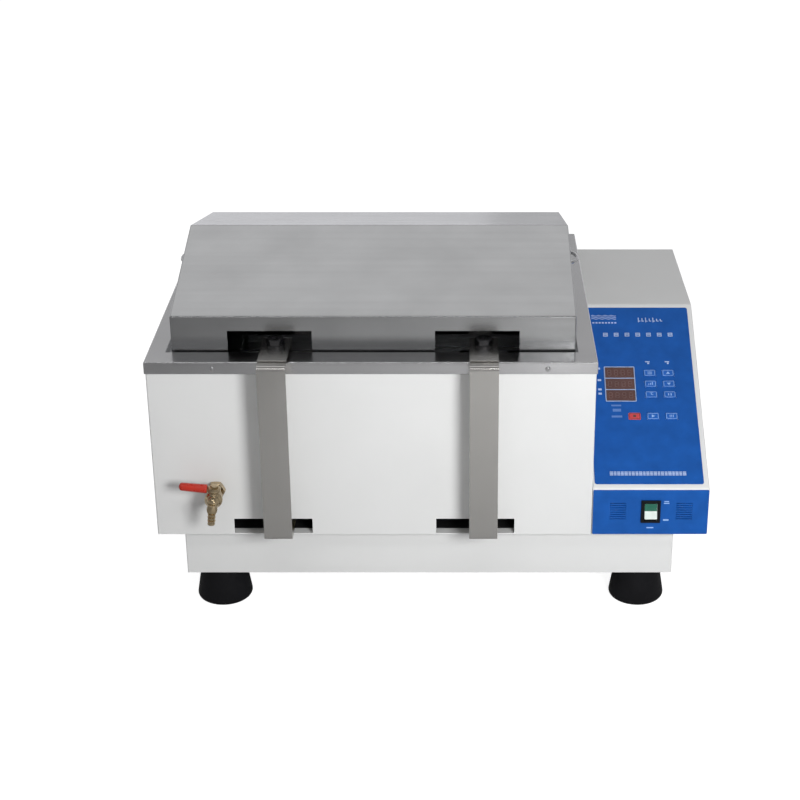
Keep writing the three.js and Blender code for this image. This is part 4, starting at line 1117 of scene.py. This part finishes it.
def heading_marks():
    """Short marks over the two columns of keys and left of the display."""
    outlines = []
    for node, shift in (("key_set", -2.0), ("key_up", 0.0)):
        x = on_slope(node).x / MM + shift
        outlines += [bar(x, 197.5, 6, 1.8), bar(x + 1, 194.8, 2.4, 2.4)]
    for y, wide in ((186, 3.6), (166.5, 4.8), (151, 4.4), (144, 4.4)):
        outlines.append(bar(13.6, y, wide, 3.2))
    return outlines


def foot_marks():
    """A row of stacked bars along the bottom of the panel."""
    outlines = []
    x = 20
    while x < 118:
        wide = (4.4, 3.2, 4.0, 3.6)[len(outlines) // 3 % 4]
        outlines += [bar(x + wide / 2, 18.3 - 2.2 * line, wide, 1.5) for line in range(3)]
        x += wide + 0.9
    return outlines


def make_prints():
    """What is printed on the films: plain bars and signs where a maker would print words."""
    base = FILM + PRINT_GAP
    white = head_marks(film_size()[1] / MM) + indicator_marks() + heading_marks() + foot_marks()
    faint = [bar(34, 124.5, 13, 2.6), bar(34.5, 116.8, 11, 4.6), bar(34, 106.5, 14, 3.2)]
    prints = joined(paint(marks(white, 0, 0, base), 0), paint(marks(faint, 0, 0, base), 1))
    add_piece("panel_prints", lift(prints), "base", "blue_film", [print_white, print_faint])

    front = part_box("lower_overlay")[0].y - PRINT_GAP
    bezel_low, bezel_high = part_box("switch_bezel")
    beside = bezel_high.x + 7.5 * MM
    spots = [
        (beside, bezel_high.z - 2 * MM, 6.0, 1.2),
        (beside, bezel_high.z - 4.6 * MM, 7.0, 1.4),
        (beside, bezel_low.z + 3.2 * MM, 7.0, 2.2),
        ((bezel_low.x + bezel_high.x) / 2, bezel_low.z - 8 * MM, 9.0, 1.6),
    ]
    parts = []
    for x, z, wide, tall in spots:
        outline = [(x + u, z + v) for u, v in bar(0, 0, wide, tall)]
        parts.append(prism(outline, front - PRINT, front, "Y"))
    add_piece("switch_prints", joined(*parts), "base", "blue_film", [print_blue])


def make_vent_cloth():
    """A dark blue dust cloth behind each vent."""
    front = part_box("console_body")[0].y
    switch_z = middle("switch_bezel").z
    case_x = middle("outer_case").x
    wide, tall = VENT_SIZE
    cloths = []
    for x in VENT_CENTRES:
        outline = [(case_x + x * MM + u * wide / 2, switch_z + v * tall / 2)
                   for u, v in ((-1, -1), (1, -1), (1, 1), (-1, 1))]
        behind = front + CONSOLE_SHEET
        cloths.append(prism(outline, behind + 0.2 * MM, behind + 0.7 * MM, "Y"))
    add_piece("vent_cloth", joined(*cloths), "base", "blue_film", [cloth_blue])


def make_rocker():
    """A rocker whose upper half is a ribbed green lens and whose lower half is painted pale: a
    painted reflection of the light it faces.
    """
    bm, widest = softened("power_rocker", 0.5 * MM)
    centre = middle("power_rocker")
    for face in bm.faces:
        # The faces of the lower half take the pale painted reflection.
        face.material_index = int(face.calc_center_median().z < centre.z - 0.5 * MM)
    stand_in("power_rocker", "lens", bm, bevel=widest, weighted=True,
             materials=[MATERIALS["green_lens"], painted_reflection_pale])


# ---- Screws ----

def screw(place, outward, radius, height):
    """A domed screw head with a cross recess, standing on a face."""
    profile = [(0, -0.4 * MM), (radius * 0.7, -0.4 * MM), (radius, 0.0)]
    for step in range(1, 7):
        angle = math.radians(15 * step)
        profile.append((radius * math.cos(angle), height * math.sin(angle)))
    profile[-1] = (0, height)
    head = turned(profile, (0, 0, 0), steps=32)
    cut = height * 0.55
    slots = [
        plate(0, 0, radius * 1.05, radius * 0.24, height - cut, height + 1 * MM),
        plate(0, 0, radius * 0.24, radius * 1.05, height - cut, height + 1 * MM),
    ]
    for slot in slots:
        head = combine(head, slot, "DIFFERENCE")
    turn = Vector(outward).to_track_quat("Z", "Y").to_matrix().to_4x4()
    head.transform(Matrix.Translation(place) @ turn)
    return head


def make_screws():
    low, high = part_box("rim_frame")
    centre = middle("rim_frame")
    lip_z = high.z - 9 * MM
    heads = []
    for y, outward in ((low.y, -1), (high.y, 1)):
        for offset in (-198 * MM, 220 * MM):
            heads.append(screw((centre.x + offset, y, lip_z), (0, outward, 0), 3.4 * MM, 1.7 * MM))
    add_piece("rim_screws", joined(*heads), "base", "polished_stainless", sharp=30)

    low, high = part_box("console_rear_panel")
    heads = []
    for x in (low.x + 9 * MM, high.x - 9 * MM):
        for z in (low.z + 10 * MM, (low.z + high.z) / 2, high.z - 10 * MM):
            heads.append(screw((x, high.y, z), (0, 1, 0), 2.8 * MM, 1.3 * MM))
    add_piece("rear_panel_screws", joined(*heads), "base", "zinc_steel", sharp=30)


# ---- Drain valve ----

LEVER_TURN = next(joint for joint in frame["joints"] if joint["child"] == "drain_lever")
NIPPLE_RADIUS = 7 * MM
NIPPLE_BORE = 4.5 * MM
NUT_FLATS = 21 * MM
VALVE_BALL = 11.5 * MM
BARB_RADIUS = 5.2 * MM
BLADE_THICKNESS = 2.5 * MM
HUB_RADIUS = 8.5 * MM


def valve_frame():
    """The valve's own frame: y along the nipple and z up the lever's axis, which leans."""
    up = Vector(LEVER_TURN["axis"]).normalized()
    nipple = middle("drain_nipple")
    turn = Matrix((Vector((up.z, 0, -up.x)), Vector((0, 1, 0)), up)).transposed().to_4x4()
    return Matrix.Translation((nipple.x, 0, nipple.z)) @ turn


VALVE = valve_frame()


def valve_extent(node):
    """A node's low and high corners in the valve's frame."""
    shift = VALVE.inverted() @ nodes[node].matrix_world
    places = [shift @ vertex.co for vertex in nodes[node].data.vertices]
    return (Vector([min(place[i] for place in places) for i in range(3)]),
            Vector([max(place[i] for place in places) for i in range(3)]))


def lean(bm):
    """Moves a surface from the valve's frame to the object's."""
    bm.transform(VALVE)
    bmesh.ops.recalc_face_normals(bm, faces=bm.faces)
    return bm


def make_nipple():
    centre = middle("drain_nipple")
    front, back = (corner.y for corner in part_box("drain_nipple"))
    case_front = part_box("outer_case")[0].y
    axis = (centre.x, 0, centre.z)
    nut = hexagonal(NUT_FLATS, axis, case_front - 9.3 * MM, case_front - 0.3 * MM, "Y")
    tube = turned([(NIPPLE_BORE, front), (NIPPLE_RADIUS, front), (NIPPLE_RADIUS, back),
                   (NIPPLE_BORE, back)], axis, "Y", 48, loop=True)
    stand_in("drain_nipple", "turned", joined(nut, tube), sharp=25)


def make_valve_body(ball_y):
    """A round body with a hexagon behind and a ridged hose barb below its nose."""
    low, high = valve_extent("drain_valve_body")
    barb_y = low.y + 7.0 * MM  # the spout's shoulder is its widest
    shell = turned([(0, ball_y - VALVE_BALL), *arc(VALVE_BALL, ball_y, -75, 55, 16),
                    (9.2 * MM, ball_y + 9.8 * MM), (9.2 * MM, ball_y + 12 * MM),
                    (0, ball_y + 12 * MM)], (0, 0, 0), "Y", 56)
    collar = hexagonal(18 * MM, (0, 0, 0), ball_y + 8 * MM, high.y, "Y")
    gland = turned([(0, 0), (7 * MM, 0), (7 * MM, 10.2 * MM), (6.2 * MM, 11.2 * MM),
                    (0, 11.2 * MM)], (0, ball_y, 0), steps=40)
    elbow = turned([(0, -8.2 * MM), *arc(8.2 * MM, 0, -70, 70, 12), (0, 8.2 * MM)],
                   (0, ball_y - 7 * MM, 0), steps=40)
    spout = [(0, 0), (5.1 * MM, 0), (7.0 * MM, -7 * MM), (6.4 * MM, -11 * MM),
             (4.6 * MM, -12.4 * MM)]
    ridge = -13.2 * MM
    while ridge > low.z + 4.5 * MM:
        spout += [(4.2 * MM, ridge), (BARB_RADIUS, ridge - 0.5 * MM), (4.4 * MM, ridge - 4.2 * MM)]
        ridge -= 4.6 * MM
    spout += [(BARB_RADIUS - 0.4 * MM, low.z + 1.4 * MM), (BARB_RADIUS - 0.8 * MM, low.z),
              (3.0 * MM, low.z), (2.8 * MM, low.z + 6 * MM), (0, low.z + 6 * MM)]
    barb = turned(spout, (0, barb_y, 0), steps=40)
    valve = shell
    for part in (collar, gland, elbow, barb):
        valve = combine(valve, part, "UNION")
    stand_in("drain_valve_body", "cast", lean(valve), sharp=32)


def make_lever(ball_y):
    """A flat blade with a round hub, held by a nut on the stem."""
    sleeve_low, sleeve_high = valve_extent("drain_lever_sleeve")
    high = valve_extent("drain_lever")[1]
    flat_low = (sleeve_low.z + sleeve_high.z - BLADE_THICKNESS) / 2
    flat_high = flat_low + BLADE_THICKNESS
    blade = plate((sleeve_low.x + 4 * MM) / 2, ball_y, -sleeve_low.x - 4 * MM, 7 * MM,
                  flat_low, flat_high, 1 * MM)
    hub = turned([(0, flat_low - 1 * MM), (HUB_RADIUS - 1 * MM, flat_low - 1 * MM),
                  (HUB_RADIUS, flat_low), (HUB_RADIUS, flat_high + 1 * MM),
                  (HUB_RADIUS - 1.2 * MM, flat_high + 2 * MM), (0, flat_high + 2 * MM)],
                 (0, ball_y, 0), steps=48)
    cap = hexagonal(9 * MM, (0, ball_y, 0), flat_high + 1 * MM, high.z, "Z")
    lever = joined(blade, hub, cap)
    stand_in("drain_lever", "pressed", lean(lever), bevel=0.25 * MM, segments=2, sharp=30)

    radius = (sleeve_high.z - sleeve_low.z) / 2
    start, end = sleeve_low.x, sleeve_high.x
    profile = [(0, start)]
    for step in range(1, 7):
        angle = math.radians(15 * step)
        profile.append((radius * 0.9 * math.sin(angle),
                        start + radius * 0.7 * (1 - math.cos(angle))))
    profile += [(radius * 0.93, start + 14 * MM), (radius, end - 1.4 * MM),
                (radius * 0.94, end - 0.4 * MM), (radius * 0.86, end), (0, end)]
    sleeve = turned(profile, (0, ball_y, (sleeve_low.z + sleeve_high.z) / 2), "X", 48)
    stand_in("drain_lever_sleeve", "dipped", lean(sleeve), sharp=50)


def make_drain():
    sleeve_low, sleeve_high = valve_extent("drain_lever_sleeve")
    ball_y = (sleeve_low.y + sleeve_high.y) / 2
    make_nipple()
    make_valve_body(ball_y)
    make_lever(ball_y)


# ---- Drive and whatever is left ----

def finish_frame_nodes():
    """Nodes that keep their own shape take their slot's material."""
    for node, obj in nodes.items():
        if not obj.hide_render:
            obj.material_slots[0].material = MATERIALS[SLOT_OF[node]]


make_camera()
make_sky()
make_floor()
area_light("key_softbox", (0.85, -2.2, 0.75), 1.6, (0.40, 0.40), 12.6, mirrored=False)
area_light("glint_softbox", (0.7, -2.2, 0.8), 1.7, (0.32, 0.32), 2.2)
area_light("edge_strip", (0.05, -1.6, 1.9), 2.2, (1.8, 0.12), 5)
area_light("lid_card", (0, 0.63, 0.78), 3.0, (3.0, 1.8), 8.5)
area_light("back_card", (-0.8, 2.15, 0.05), 2.6, (2.2, 0.6), 2.6, (0.95, 0.95, 1.0))
area_light("back_fill", (0.85, 2.15, 0.05), 2.6, (1.8, 0.6), 1.2, (0.95, 0.95, 1.0))
reflector("dark_card", (-1.3, -1.5), (-0.33, -0.98), 0.32)
reflector("bright_card", (0.215, -1.36), (0.26, -1.17), 0.9, 2.2)

make_feet()
make_plinth()
make_case()
make_rim()
make_tank()
make_probe_and_heater()
make_lid()
make_arms()
make_tray()
soften_node("platform", 0.3 * MM)
make_console_box()
make_film()
make_keys()
make_display()
make_prints()
make_vent_cloth()
make_rocker()
make_screws()
make_drain()
finish_frame_nodes()
